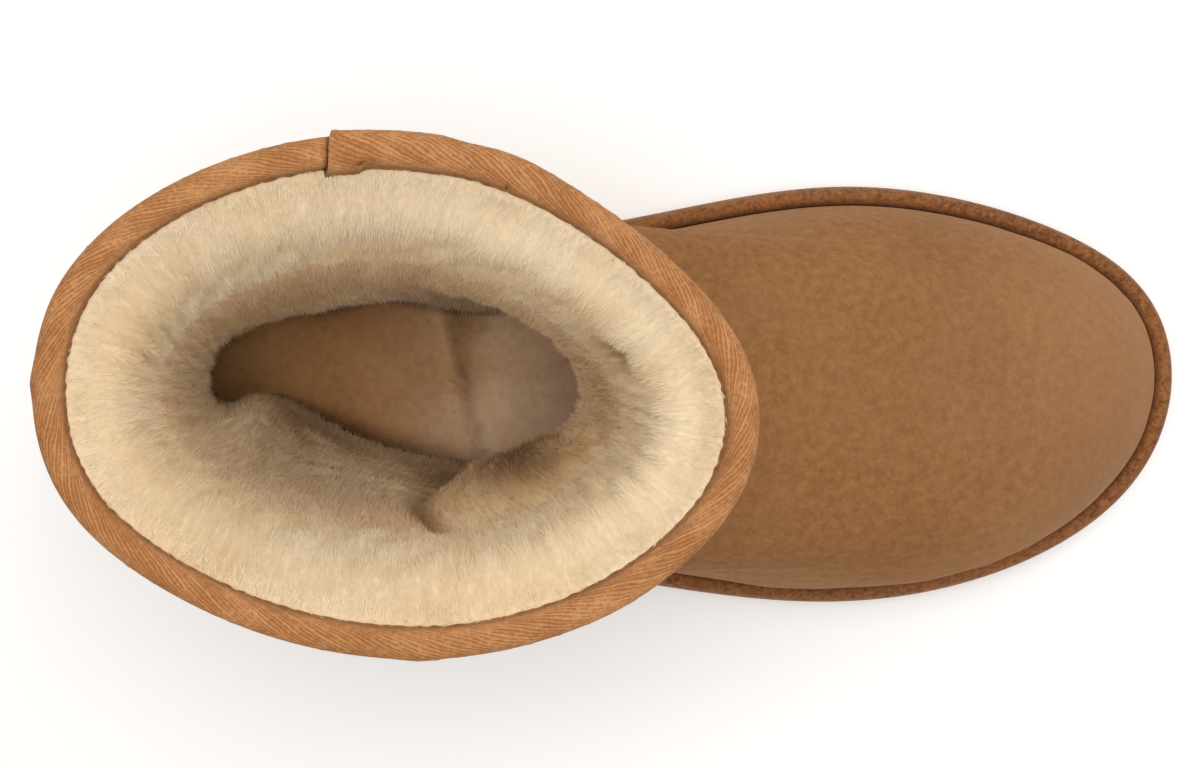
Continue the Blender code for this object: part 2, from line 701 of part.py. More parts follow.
def vamp_seam_line():
    """Side view of the seam that crosses the instep from the side seams."""
    start_x = -0.370 * HALF_SOLE_LENGTH + SEAM_WIDTH + SEAM_END_GAP / 2
    return side_line(
        (start_x, 0.70 * INSTEP_HEIGHT),
        (-0.240 * HALF_SOLE_LENGTH, 0.775 * INSTEP_HEIGHT),
        (-0.080 * HALF_SOLE_LENGTH, 0.950 * INSTEP_HEIGHT),
        (0.20 * HALF_SOLE_LENGTH, 1.300 * INSTEP_HEIGHT),
    )


def counter_outline():
    """Side view of the heel counter: level over the heel, curving down in front."""
    heel = -HALF_SOLE_LENGTH
    shoulder = [(heel + reached * COUNTER_REACH, height * COUNTER_HEIGHT) for reached, height in COUNTER_EDGE]
    front, behind = heel + COUNTER_REACH, shoulder[-1][0]
    edge = side_line((front, lip_top(front) + GAP), *shoulder)
    foot = [(x, lip_top(x) + GAP) for x in np.linspace(behind, front, COUNTER_POINTS)[:-1]]
    return foot + [tuple(p) for p in edge]


def overlay_shell(name, thickness, tone, collection):
    """A thin wall just outside the hide, parallel to all of its facets."""
    turn, levels = column_turns(), row_levels()
    profile = wall_profile(offset_loft(turn, levels, GAP + thickness), offset_loft(turn, levels, GAP))
    return ring_solid(name, profile, tone, collection)


def make_counter(collection, cutters, tone):
    """The heel counter: the part of an outer wall behind the counter's outline."""
    counter = overlay_shell("heel_counter", COUNTER_THICKNESS, tone, collection)
    cutter = prism("counter_outline", counter_outline(), -SOLE_WIDTH, SOLE_WIDTH, cutters)
    boolean(counter, cutter, "INTERSECT")


def make_seams(collection, cutters, tone):
    """Raised seams: one down each side of the shaft, and one over the instep."""
    for side, label in zip(SIDES, ("medial", "lateral")):
        seam = overlay_shell(f"side_seam_{label}", SEAM_HEIGHT, tone, collection)
        outline = strip_outline(side_seam_line(), SEAM_WIDTH)
        cutter = prism(f"side_seam_{label}_outline", outline, 0.0, side * SOLE_WIDTH, cutters)
        boolean(seam, cutter, "INTERSECT")
    seam = overlay_shell("vamp_seam", SEAM_HEIGHT, tone, collection)
    outline = strip_outline(vamp_seam_line(), SEAM_WIDTH)
    cutter = prism("vamp_seam_outline", outline, -SOLE_WIDTH, SOLE_WIDTH, cutters)
    boolean(seam, cutter, "INTERSECT")


def side_centre():
    """Middle of the whole boot's reach to both sides, sole and collar together."""
    sole = sole_outline(np.linspace(0, FULL_TURN, 720))[:, 1]
    turn = tape_turns()
    tape = offset_loft(turn, np.array([LOFT_HEIGHT]), GAP + TAPE_THICKNESS + lap_thickness(turn))[0, :, 1]
    return (max(sole.max(), tape.max()) + min(sole.min(), tape.min())) / 2


def main():
    clear_scene()
    boot = bpy.data.collections.new("sheepskin_boot")
    cutters = bpy.data.collections.new("cutters")
    for group in (boot, cutters):
        bpy.context.scene.collection.children.link(group)
    tones = {name: material(name) for name in TONES}
    make_outsole(boot, cutters, tones["foam"])
    make_insole(boot, tones["felt"])
    make_upper(boot, tones["suede"])
    make_lining(boot, tones["wool"])
    make_binding(boot, tones["tape"])
    make_counter(boot, cutters, tones["suede"])
    make_seams(boot, cutters, tones["suede"])
    stand = bpy.data.objects.new("boot_centre", None)
    boot.objects.link(stand)
    for thing in list(boot.objects) + list(cutters.objects):
        if thing is not stand:
            thing.parent = stand
    stand.location = Vector((0, -side_centre(), 0))
    bpy.context.view_layer.update()


main()
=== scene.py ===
"""A short sheepskin boot for the right foot, standing empty and seen from above.

Hide, pile, tape, seams and heel counter all lie on one surface, the loft. It is a
function of two parameters: the turn round the boot, from the back of the heel over
the big-toe side, and the level, the mean distance up the wall from the welt line.
Metres throughout, but where a comment says otherwise. +X to the toe, +Y to the
big-toe side, +Z up.
"""

import functools
import math

import bmesh
import bpy
import numpy as np
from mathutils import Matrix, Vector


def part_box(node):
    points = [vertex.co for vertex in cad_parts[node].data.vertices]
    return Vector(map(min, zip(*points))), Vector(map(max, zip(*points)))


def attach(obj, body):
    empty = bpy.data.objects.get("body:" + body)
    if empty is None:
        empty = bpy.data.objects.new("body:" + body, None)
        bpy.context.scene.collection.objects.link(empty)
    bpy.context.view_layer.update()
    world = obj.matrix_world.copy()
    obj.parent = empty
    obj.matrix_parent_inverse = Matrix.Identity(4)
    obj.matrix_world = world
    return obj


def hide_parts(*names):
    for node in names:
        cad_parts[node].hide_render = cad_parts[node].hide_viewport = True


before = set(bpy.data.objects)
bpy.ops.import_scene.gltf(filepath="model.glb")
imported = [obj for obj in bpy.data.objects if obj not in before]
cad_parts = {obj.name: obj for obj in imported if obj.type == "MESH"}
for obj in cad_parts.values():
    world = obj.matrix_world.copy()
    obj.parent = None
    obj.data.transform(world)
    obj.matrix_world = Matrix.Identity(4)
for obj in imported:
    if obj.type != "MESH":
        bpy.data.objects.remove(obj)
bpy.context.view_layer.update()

FULL_TURN = 2 * math.pi

# Sizes of the sole. A groove's floor is the share of its width that lies flat
SOLE_LENGTH = 0.265
SOLE_WIDTH = 0.106
HEEL_THICKNESS = 0.023
BALL_THICKNESS = 0.016
TOE_THICKNESS = 0.0145
TOE_SPRING = 0.008
TOE_SPRING_START = 0.070
ARCH_RISE = 0.0025
LIP_WIDTH = 0.0048
LIP_HEIGHT = 0.0040
GROOVE_WIDTH = 0.0030
GROOVE_DEPTH = 0.0022
GROOVE_PITCH = 0.0110
GROOVE_SWING = 0.0035
GROOVE_BENDS = 5
GROOVE_FLOOR = 0.80
TREAD_MARGIN = 0.0080

# Sizes of the upper
INSTEP_HEIGHT = 0.105
ANKLE_HEIGHT = 0.132
ANKLE_LENGTH = 0.1200
ANKLE_WIDTH = 0.0870
ANKLE_CENTRE = -0.0610
BOOT_HEIGHT = 0.2075
COLLAR_LENGTH = 0.1401
COLLAR_WIDTH = 0.1000
COLLAR_CENTRE = -0.0532
COLLAR_SLOPE = 0.0030
HIDE_THICKNESS = 0.0020

# Sizes of the lining and the insole, and where the insole's ridge crosses it
PILE_DEPTH = 0.0150
PILE_EDGE = 0.0013
FIBRE_SUNK = 0.0005
INSOLE_THICKNESS = 0.0080
RIDGE_X = -0.0468
RIDGE_LEAN = 0.20

# Sizes of the tape, its ribs and its lap
TAPE_THICKNESS = 0.0009
TAPE_OUTSIDE_DROP = 0.0100
TAPE_INSIDE_DROP = 0.0028
TAPE_CROWN = 0.0012
TAPE_CROWN_WIDTH = 0.0082
TAPE_LAP = 0.0008
TAPE_LAP_LENGTH = 0.028
TAPE_LAP_TAPER = 0.0084
TAPE_JOIN = math.radians(80)
TAPE_MIDDLE = 0.0121
TAPE_WIDTH = 0.022
TAPE_CUT_SLANT = 0.072
RIB_PITCH = 0.00060
RIB_HEIGHT = 0.000035
RIB_ANGLE = math.radians(17)

# Sizes of the heel counter, the seams and their stitches
COUNTER_THICKNESS = 0.0016
COUNTER_HEIGHT = 0.088
COUNTER_REACH = 0.072
COUNTER_EDGE = ((0.92, 0.45), (0.69, 0.80), (0.33, 0.97), (-0.18, 1.00))
CHANNEL_ROWS = (0.0026, 0.0048)
CHANNEL_DEPTH = 0.00030
CHANNEL_PITCH = 0.0031
CHANNEL_STITCH = 0.0025
SEAM_WIDTH = 0.0034
SEAM_HEIGHT = 0.0015
SEAM_END_GAP = 0.0012
ZIGZAG_PITCH = 0.0026
THREAD_RADIUS = 0.00028
GAP = 0.0003

HALF_SOLE_LENGTH = SOLE_LENGTH / 2
HALF_SOLE_WIDTH = SOLE_WIDTH / 2
WELT_INSET = LIP_WIDTH + GAP

# How finely the pieces follow the loft
HIDE_TURNS, HIDE_ROWS = 300, 132
SOLE_TURNS, SOLE_ROWS = 150, 44
COUNTER_TURNS, COUNTER_ROWS = 181, 48
INSOLE_TURNS, INSOLE_ROWS = 300, 70
TAPE_PLACES = 960
PILE_COLUMNS = 330
PILE_DROPS = np.concatenate([np.linspace(2.4, 6.0, 9)[:-1], np.linspace(6.0, 30.0, 27)[:-1]]) / 1000
SEAM_STEP = 0.0012

# Stations round a ring, in degrees from its back point: the heel end, the widest
# part of the heel, the waist, the ball, the toe shoulder and the toe end
STATIONS = (0, 40, 70, 110, 145, 180)
SOLE_MEDIAL = (1.32, 1.10, 0.720, 0.975, 1.155, 1.38)
SOLE_LATERAL = (1.32, 1.08, 0.920, 1.165, 1.340, 1.43)
SOLE_ENDS = (0.085, 0.096)

# Rings of the foot: back and front as shares of half the sole's length, rises as
# shares of the way to the instep, offsets and reaches as shares of half its width
FOOT_PLACES = (
    # name, back, front, back rise, front rise, back offset, front offset
    ("bulge", -0.958, 0.937, 0.22, 0.19, 0.085, 0.095),
    ("toe cap", -0.956, 0.868, 0.40, 0.41, 0.085, 0.090),
    ("vamp front", -0.945, 0.690, 0.56, 0.60, 0.085, 0.060),
    ("vamp", -0.930, 0.385, 0.74, 0.785, 0.085, 0.030),
    ("instep", -0.917, 0.130, 0.97, 1.000, 0.085, 0.010),
)
FOOT_MEDIAL = (
    ("bulge", 1.22, 1.000, 0.625, 0.830, 1.030, 1.24),
    ("toe cap", 1.20, 0.975, 0.645, 0.780, 0.935, 1.12),
    ("vamp front", 1.13, 0.915, 0.680, 0.735, 0.865, 1.01),
    ("vamp", 1.06, 0.865, 0.725, 0.770, 0.865, 0.95),
    ("instep", 0.96, 0.840, 0.770, 0.780, 0.820, 0.86),
)
FOOT_LATERAL = (
    ("bulge", 1.22, 1.000, 0.815, 1.060, 1.255, 1.32),
    ("toe cap", 1.20, 0.975, 0.800, 1.000, 1.170, 1.19),
    ("vamp front", 1.13, 0.915, 0.785, 0.905, 1.070, 1.06),
    ("vamp", 1.06, 0.865, 0.780, 0.860, 0.975, 0.96),
    ("instep", 0.96, 0.840, 0.790, 0.820, 0.865, 0.87),
)

# Rings of the shaft: how far each has opened to the collar, its rise, and reaches
# as shares of half the ring's width
SHAFT_PLACES = (
    # name, collar share, rise, back offset, front offset
    ("ankle", 0.00, 0.00, 0.090, 0.010),
    ("mid shaft", 0.42, 0.50, 0.095, -0.010),
    ("rim", 1.00, 1.00, 0.080, -0.028),
)
SHAFT_MEDIAL = (
    ("ankle", 1.06, 1.00, 0.985, 0.985, 0.990, 1.00),
    ("mid shaft", 1.02, 1.00, 1.000, 0.990, 0.950, 0.95),
    ("rim", 0.96, 1.045, 1.035, 1.010, 0.900, 0.88),
)
SHAFT_LATERAL = (
    ("ankle", 1.06, 1.00, 0.985, 0.985, 1.000, 1.00),
    ("mid shaft", 1.05, 0.99, 0.975, 0.985, 0.970, 0.96),
    ("rim", 1.24, 0.97, 0.960, 0.960, 0.915, 0.92),
)

# The sole's side: share of its height, and inset as a share of the lip's width
SOLE_SIDE = (
    ((0.00, 0.62), (0.05, 0.30), (0.14, 0.12), (0.27, 0.06), (0.31, 0.24), (0.36, 0.24))
    + ((0.40, 0.04), (0.50, 0.02), (0.54, 0.21), (0.59, 0.21), (0.63, 0.00))
    + ((0.82, 0.00), (0.94, 0.13), (1.00, 0.42), (0.99, 0.72), (0.94, 1.00))
)

# Where the pile is trodden thicker or thinner: turn and spread in degrees, shares
# of the loft's height where it starts, is full and is gone again (below zero:
# never), and the extra depth as a share of the pile's
PILE_SWELLS = (
    ("little-toe side", 272, 34, 0.88, 0.55, 0.18, 0.08),
    ("heel's outer corner", 322, 16, 0.80, 0.40, -1.0, 0.66),
    ("arch", 84, 30, 0.50, 0.25, -1.0, -0.32),
    ("outer instep", 222, 22, 0.85, 0.66, 0.30, 0.36),
    ("inner instep", 160, 34, 0.85, 0.66, 0.30, -0.20),
    ("heel", 0, 20, 0.50, 0.25, -1.0, -0.17),
    ("before the outer seam", 242, 12, 0.85, 0.66, 0.22, 0.26),
    ("arch's dent", 61, 6, 0.40, 0.15, -1.0, -0.24),
)
PILE_SWELL_FADE = 0.2

# Places where shade is painted into the wool, on folds, on the walls and on the
# shoulder under the tape, and where light is painted on the slope at the inner
# side: turn and its spread in degrees, level and its spread as shares of the
# loft's height, and how much darker it is painted, or paler where that is below zero
PILE_SHADES = (
    ("outer instep's fold", 224, 26, 0.70, 0.10, 0.88),
    ("front wall", 172, 30, 0.80, 0.07, 0.46),
    ("outer heel's wall", 312, 15, 0.30, 0.30, 0.55),
    ("shoulder at the outside", 300, 34, 0.985, 0.025, 0.24),
    ("shoulder at the inner side", 80, 26, 0.985, 0.020, 0.14),
    ("shoulder at the heel's inner side", 45, 22, 0.985, 0.025, 0.12),
    # Painted light: this slope is made paler against the shade that falls on it.
    ("painted light on the slope at the inner side", 84, 42, 0.900, 0.035, -0.16),
)

# The small hollow at the inner front, whose shade is also painted into the wool:
# turn, level and their spreads, as above
PILE_HOLLOW = (151, 8, 0.905, 0.030)

# The pile's rounded shoulder under the tape: drop below the rim in millimetres,
# and the share of the pile's depth that it has puffed out by there
PILE_SHOULDER = (
    ((2.4, 0.00), (2.9, 0.06), (3.3, 0.22), (3.9, 0.39), (4.8, 0.55), (6.0, 0.69))
    + ((7.8, 0.81), (10.5, 0.91), (14.0, 0.96), (22.0, 1.00), (60.0, 1.02))
)

# Unevenness of the pile: metres round and along for each bump, seed, and waves
PILE_WAVES = (0.020, 0.0055, 33)
PILE_STREAKS = (0.0032, 0.020, 22, 20)

# How far shading turns up where wool faces sideways, on collar and walls
PILE_UPWARD = (0.62, 0.46)

# Soft folds of the hide, each a trough with a rounded ridge on both sides
FOLDS = (
    # name, turn, spread in degrees, level as a share, bow, slant, half width mm, depth mm
    ("ankle front", 180, 50, 0.640, -0.035, 0.000, 5.5, 0.95),
    ("over the instep", 186, 34, 0.575, -0.030, 0.010, 6.0, 0.65),
    ("shin", 172, 40, 0.735, 0.020, -0.012, 6.5, 0.55),
    ("inner ankle", 72, 34, 0.600, 0.030, -0.060, 6.0, 0.80),
    ("inner ankle, low", 88, 20, 0.500, 0.020, -0.030, 5.0, 0.40),
    ("outer ankle", 286, 34, 0.610, 0.028, 0.060, 6.0, 0.85),
    ("outer ankle, low", 272, 20, 0.500, 0.022, 0.030, 5.0, 0.45),
    ("above the counter", 4, 44, 0.560, 0.018, 0.014, 5.0, 0.85),
    ("back of the shaft", 350, 36, 0.690, -0.016, -0.020, 6.5, 0.50),
)
FOLD_RIDGE = 1.7

# Small marks of the tape: distance along it from its end and across it from its
# outer edge, half sizes both ways, in millimetres, and how dark
TAPE_MARKS = (
    ("needle hole", 6.0, 15.9, 0.9, 0.35, 0.9),
    ("second needle hole", 8.6, 15.8, 0.7, 0.28, 0.5),
    ("pulled thread", 36.4, 17.4, 0.35, 1.2, 1.0),
)

# Places where the folded tape stands out a little: turn, spread in degrees, mm
TAPE_KINKS = ((2, 3.0, 0.45), (266, 3.5, 0.40), (20, 8, 0.20), (232, 9, 0.25), (109, 9, 0.90))

# The stage: half the floor's side, how far it lies under the sole, and the
# photograph's view
FLOOR_REACH = 4.0
FLOOR_DROP = 0.0002
LAMPS = (
    # name, place, diameter, watts
    ("overhead_softbox", (-0.01, 0.07, 1.58), 0.80, 14.5),
    ("side_softbox", (0.70, 0.90, 1.10), 0.90, 4.0),
)
LAMP_AIM = (-0.02, 0.0, 0.05)
SENSOR_MM = 36.0
LENS_MM = 93.36
CAMERA_PLACE = (-0.0131, 0.01418, 0.815)
CAMERA_LEAN = math.radians(-0.81)


def eased(low, high, x):
    """0 below low, 1 above high, and 3t² − 2t³ between."""
    t = np.clip((x - low) / (high - low), 0, 1)
    return t * t * (3 - 2 * t)


def bell(x, width=1.0):
    """A bell shape, e to the minus square: 1 at the middle, 0.37 a width away."""
    return np.exp(-((x / width) ** 2))


def unit(vectors):
    """Vectors scaled to length one."""
    return vectors / np.maximum(np.linalg.norm(vectors, axis=-1, keepdims=True), 1e-12)


def run_along(points):
    """Length run from the first point of a line to each of its points."""
    return np.concatenate([[0], np.cumsum(np.linalg.norm(np.diff(points, axis=0), axis=1))])


def round_turns(count):
    """Even turns all the way round a ring, as one row."""
    return np.linspace(0, FULL_TURN, count, endpoint=False)[None, :]


def from_turn(turn, middle):
    """Degrees from a middle to each turn, the short way round."""
    return (np.degrees(turn) - middle + 180) % 360 - 180


def smooth_rows(knots, rows, places):
    """Natural cubic spline through rows given at knots, read at places."""
    knots = np.asarray(knots, float)
    rows = np.asarray(rows, float)
    places = np.atleast_1d(np.asarray(places, float))
    flat = rows.reshape(len(knots), -1)
    step = np.diff(knots)
    system = np.eye(len(knots))
    right = np.zeros_like(flat)
    for i in range(1, len(knots) - 1):
        system[i, i - 1 : i + 2] = step[i - 1], 2 * (step[i - 1] + step[i]), step[i]
        right[i] = 6 * ((flat[i + 1] - flat[i]) / step[i] - (flat[i] - flat[i - 1]) / step[i - 1])
    bend = np.linalg.solve(system, right)
    left = np.clip(np.searchsorted(knots, places) - 1, 0, len(knots) - 2)
    width = step[left][:, None]
    a = (knots[left + 1] - places)[:, None] / width
    b = 1 - a
    curve = a * flat[left] + b * flat[left + 1]
    curve += ((a**3 - a) * bend[left] + (b**3 - b) * bend[left + 1]) * width**2 / 6
    return curve.reshape((len(places),) + rows.shape[1:])


def plan_ring(back, front, medial, lateral, half, turn):
    """A closed curve in plan: (1 − cos turn) / 2 of the way from back to front, and
    the sine of the turn times a reach to the side of that line. The reach is a
    periodic cubic through both sides' stations, given as shares of half a width."""
    medial, lateral = np.array(medial) * half, np.array(lateral) * half
    degrees = np.array(STATIONS + tuple(360 - s for s in STATIONS[-2:0:-1]), float)
    values = np.concatenate([medial, lateral[-2:0:-1]])
    values[0] = (medial[0] + lateral[0]) / 2
    values[len(STATIONS) - 1] = (medial[-1] + lateral[-1]) / 2
    knots = np.concatenate([degrees - 360, degrees, degrees + 360])
    reach = smooth_rows(knots, np.tile(values, 3), np.degrees(np.mod(turn, FULL_TURN)))
    share = (1 - np.cos(turn)) / 2
    x = back[0] + (front[0] - back[0]) * share
    y = back[1] + (front[1] - back[1]) * share + np.sin(turn) * reach
    return np.stack([x, y], axis=-1), share


def sole_outline(turn):
    """The sole's outline in plan."""
    back = (-HALF_SOLE_LENGTH, SOLE_ENDS[0] * HALF_SOLE_WIDTH)
    front = (HALF_SOLE_LENGTH, SOLE_ENDS[1] * HALF_SOLE_WIDTH)
    return plan_ring(back, front, SOLE_MEDIAL, SOLE_LATERAL, HALF_SOLE_WIDTH, turn)[0]


def inset_outline(turn, inset):
    """The sole's outline moved inwards, square to itself."""
    along = unit(sole_outline(turn + 1e-4) - sole_outline(turn - 1e-4))
    outwards = np.stack([-along[..., 1], along[..., 0]], axis=-1)
    return sole_outline(turn) - outwards * inset


def toe_spring(x):
    """Rise of the sole towards its tip, with the square of the way there."""
    way = np.clip((x - TOE_SPRING_START) / (HALF_SOLE_LENGTH - TOE_SPRING_START), 0, 1)
    return TOE_SPRING * way**2


def ground_at(x):
    """Height of the sole's underside: a sine-squared arch, and the toe spring."""
    arch_back, arch_front = -0.42 * HALF_SOLE_LENGTH, 0.02 * HALF_SOLE_LENGTH
    arch = np.clip((x - arch_back) / (arch_front - arch_back), 0, 1)
    return ARCH_RISE * np.sin(math.pi * arch) ** 2 + toe_spring(x)


def footbed_at(x):
    """Height of the sole's upper face: eased from heel to ball to toe."""
    to_ball = eased(-0.55 * HALF_SOLE_LENGTH, 0.15 * HALF_SOLE_LENGTH, x)
    to_toe = eased(0.35 * HALF_SOLE_LENGTH, HALF_SOLE_LENGTH, x)
    thickness = HEEL_THICKNESS + (BALL_THICKNESS - HEEL_THICKNESS) * to_ball
    return thickness + (TOE_THICKNESS - BALL_THICKNESS) * to_toe + toe_spring(x)


def lip_top(x):
    """Height of the top of the sole's lip."""
    return float(footbed_at(x)) + LIP_HEIGHT


def key_rings(turn):
    """The rings that the loft passes through at each turn: two at the welt, those
    of the foot, whose heights run straight from back to front, and the shaft's."""
    welt = inset_outline(turn, WELT_INSET)
    bed = footbed_at(welt[:, 0])
    rings = [np.column_stack([welt, bed + GAP]), np.column_stack([welt, bed + LIP_HEIGHT])]
    for place, medial, lateral in zip(FOOT_PLACES, FOOT_MEDIAL, FOOT_LATERAL):
        _, back, front, back_rise, front_rise, back_offset, front_offset = place
        ends = np.array([back, front]) * HALF_SOLE_LENGTH
        start = (ends[0], back_offset * HALF_SOLE_WIDTH)
        finish = (ends[1], front_offset * HALF_SOLE_WIDTH)
        plan, share = plan_ring(start, finish, medial[1:], lateral[1:], HALF_SOLE_WIDTH, turn)
        low = footbed_at(ends)
        heights = low + (INSTEP_HEIGHT - low) * np.array([back_rise, front_rise])
        rings.append(np.column_stack([plan, heights[0] + (heights[1] - heights[0]) * share]))
    for place, medial, lateral in zip(SHAFT_PLACES, SHAFT_MEDIAL, SHAFT_LATERAL):
        _, opened, rise, back_offset, front_offset = place
        length = ANKLE_LENGTH + (COLLAR_LENGTH - ANKLE_LENGTH) * opened
        half = (ANKLE_WIDTH + (COLLAR_WIDTH - ANKLE_WIDTH) * opened) / 2
        centre = ANKLE_CENTRE + (COLLAR_CENTRE - ANKLE_CENTRE) * opened
        start = (centre - length / 2, back_offset * half)
        finish = (centre + length / 2, front_offset * half)
        plan, share = plan_ring(start, finish, medial[1:], lateral[1:], half, turn)
        middle = ANKLE_HEIGHT + (BOOT_HEIGHT - COLLAR_SLOPE / 2 - ANKLE_HEIGHT) * rise
        rings.append(np.column_stack([plan, middle + COLLAR_SLOPE * (2 - opened) * (share - 0.5)]))
    return np.array(rings)


def loft_knots():
    """Mean distance from ring to ring, summed from the welt line up."""
    steps = np.linalg.norm(np.diff(key_rings(round_turns(72)[0]), axis=0), axis=2).mean(1)
    return np.concatenate([[0], np.cumsum(steps)])


def side_shift():
    """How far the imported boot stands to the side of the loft's own axes."""
    sole = sole_outline(np.linspace(0, FULL_TURN, 1440))[:, 1]
    low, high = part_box("outsole")
    return np.array([0.0, (low[1] + high[1]) / 2 - (sole.min() + sole.max()) / 2, 0.0])


KNOTS = loft_knots()
LOFT_HEIGHT = KNOTS[-1]
LIP_LEVEL = KNOTS[1]
SIDE_SHIFT = side_shift()


def loft(turn, level):
    """Points of the hide's outside for two arrays of one shape: the spline through
    the key rings, whose ten weights depend on the level alone."""
    turn, level = np.broadcast_arrays(turn, level)
    weights = smooth_rows(KNOTS, np.eye(len(KNOTS)), level.ravel())
    rings = key_rings(turn.ravel())
    return np.einsum("nk,knc->nc", weights, rings).reshape(turn.shape + (3,)) + SIDE_SHIFT


def wall_direction(turn, level):
    """Outward normals of the loft, laid level at the welt line and at the rim."""
    turn, level = np.broadcast_arrays(turn, level)
    above = loft(turn, np.minimum(level + 2e-4, LOFT_HEIGHT))
    below = loft(turn, np.maximum(level - 2e-4, 0))
    normal = unit(np.cross(above - below, loft(turn + 2e-3, level) - loft(turn - 2e-3, level)))
    from_welt = eased(KNOTS[1], KNOTS[2], level)
    from_rim = eased(0, TAPE_OUTSIDE_DROP, LOFT_HEIGHT - level)
    normal[..., 2] *= from_welt * from_rim
    return unit(normal)


def off_loft(turn, level, out):
    """Points of the loft moved outwards, square to it."""
    return loft(turn, level) + wall_direction(turn, level) * np.asarray(out)[..., None]


def ring_noise(turn, level, around, along, seed, waves=14):
    """Soft unevenness of about unit size that closes on itself round the boot:
    sine waves added up, each with a whole number of bumps round the ring, about
    one every `around` metres, and about one every `along` metres of level."""
    dice = np.random.default_rng(seed)
    total = 0.0
    for _ in range(waves):
        bumps = round(0.45 / around * dice.uniform(0.5, 1.6))
        rise = FULL_TURN / along * dice.uniform(-1.5, 1.5)
        total = total + np.sin(bumps * turn + rise * level + dice.uniform(0, FULL_TURN))
    return total / math.sqrt(waves / 2)


def hide(turn, level, out=0.0):
    """The hide's outside, moved outwards by `out` and by its folds. Each fold is a
    bell-shaped trough across its line, with a ridge of half its depth on both
    sides, and it dies out with the square of a cosine towards its ends."""
    relief = 0.00012 * ring_noise(turn, level, 0.030, 0.040, 5)
    relief = relief + 0.00005 * ring_noise(turn, level, 0.011, 0.013, 6)
    for _, middle, spread, height, bow, slant, width, depth in FOLDS:
        reached = np.clip(from_turn(turn, middle) / spread, -1, 1)
        window = np.cos(reached * math.pi / 2) ** 2
        line = (height + bow * reached**2 + slant * reached) * LOFT_HEIGHT
        across = (level - line) / (width / 1000)
        ridges = bell(across - FOLD_RIDGE) + bell(across + FOLD_RIDGE)
        relief = relief + depth / 1000 * window * (0.5 * ridges - bell(across))
    calm = eased(LIP_LEVEL, LIP_LEVEL + 0.012, level)
    near_tape = eased(TAPE_OUTSIDE_DROP, 2.4 * TAPE_OUTSIDE_DROP, LOFT_HEIGHT - level)
    return off_loft(turn, level, out + relief * calm * near_tape)


def settle(target, turn, level, axes=(1, 1, 1)):
    """Turn and level of the hide's points nearest to the targets: Gauss-Newton
    steps on the chosen axes, from a first guess."""
    weight = np.array(axes, float)
    for _ in range(12):
        here = hide(turn, level)
        by_turn = (hide(turn + 1e-4, level) - here) / 1e-4 * weight
        by_level = (hide(turn, level + 1e-5) - here) / 1e-5 * weight
        miss = (target - here) * weight
        a = np.sum(by_turn * by_turn, -1)
        b = np.sum(by_turn * by_level, -1)
        c = np.sum(by_level * by_level, -1)
        d = np.sum(by_turn * miss, -1)
        e = np.sum(by_level * miss, -1)
        area = a * c - b * b + 1e-12
        turn = turn + np.clip((c * d - b * e) / area, -0.2, 0.2)
        level = np.clip(level + np.clip((a * e - b * d) / area, -0.02, 0.02), 0, LOFT_HEIGHT)
    return turn, level


def grid_faces(rows, columns, wrap_rows=True, wrap_columns=True, start=0):
    """Four-sided faces of a grid of points stored row after row, facing the way
    that the columns' direction crossed into the rows' direction points."""
    r = np.arange(rows if wrap_rows else rows - 1)[:, None]
    c = np.arange(columns if wrap_columns else columns - 1)[None, :]
    up, on = (r + 1) % rows, (c + 1) % columns
    corners = [r * columns + c, up * columns + c, up * columns + on, r * columns + on]
    return start + np.stack(np.broadcast_arrays(*corners), -1).reshape(-1, 4)


def show(name, data):
    """Puts a mesh, lamp or lens into the scene."""
    made = bpy.data.objects.new(name, data)
    bpy.context.scene.collection.objects.link(made)
    return made


def add_piece(name, points, faces, finish, slot, nodes=(), weld=False, closed=True):
    """Puts arrays of points and faces into a mesh object that rides on the boot.
    A closed mesh that reads inside out, by its signed volume, is turned."""
    points = np.asarray(points, float).reshape(-1, 3)
    if closed:
        fans = [(0, 1, 2), (0, 2, 3)][: faces.shape[1] - 2]
        corners = [points[faces[:, list(fan)]] for fan in fans]
        if sum(np.einsum("ni,ni->", c[:, 0], np.cross(c[:, 1], c[:, 2])) for c in corners) < 0:
            faces = faces[:, ::-1]
    mesh = bpy.data.meshes.new(name)
    mesh.vertices.add(len(points))
    mesh.vertices.foreach_set("co", points.astype(np.float32).ravel())
    mesh.loops.add(faces.size)
    mesh.loops.foreach_set("vertex_index", faces.astype(np.int32).ravel())
    mesh.polygons.add(len(faces))
    starts = np.arange(0, faces.size, faces.shape[1], dtype=np.int32)
    mesh.polygons.foreach_set("loop_start", starts)
    mesh.polygons.foreach_set("use_smooth", np.ones(len(faces), bool))
    mesh.update(calc_edges=True)
    mesh.materials.append(finish)
    made = show(name, mesh)
    if weld:
        merge_doubles(made)
    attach(made, "root")
    if nodes:
        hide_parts(*nodes)
    return made


def merge_doubles(made):
    """Joins points that lie on each other, which closes seams and poles."""
    work = bmesh.new()
    work.from_mesh(made.data)
    bmesh.ops.remove_doubles(work, verts=work.verts, dist=2e-6)
    work.to_mesh(made.data)
    work.free()


def add_values(made, name, values):
    """Keeps one number for each point of a piece, for its material to read."""
    kept = made.data.attributes.new(name, "FLOAT", "POINT")
    kept.data.foreach_set("value", np.asarray(values, np.float32).ravel())


def add_uv(made, name, u, v):
    """A UV map from two numbers for each point, in metres along and across."""
    corners = np.empty(len(made.data.loops), np.int32)
    made.data.loops.foreach_get("vertex_index", corners)
    flat = np.stack([np.ravel(u)[corners], np.ravel(v)[corners]], -1)
    made.data.uv_layers.new(name=name).data.foreach_set("uv", flat.astype(np.float32).ravel())


def linear(text):
    """An sRGB hex colour as linear red, green, blue and alpha."""
    channels = [int(text[i : i + 2], 16) / 255 for i in (1, 3, 5)]
    return [c / 12.92 if c <= 0.04045 else ((c + 0.055) / 1.055) ** 2.4 for c in channels] + [1.0]


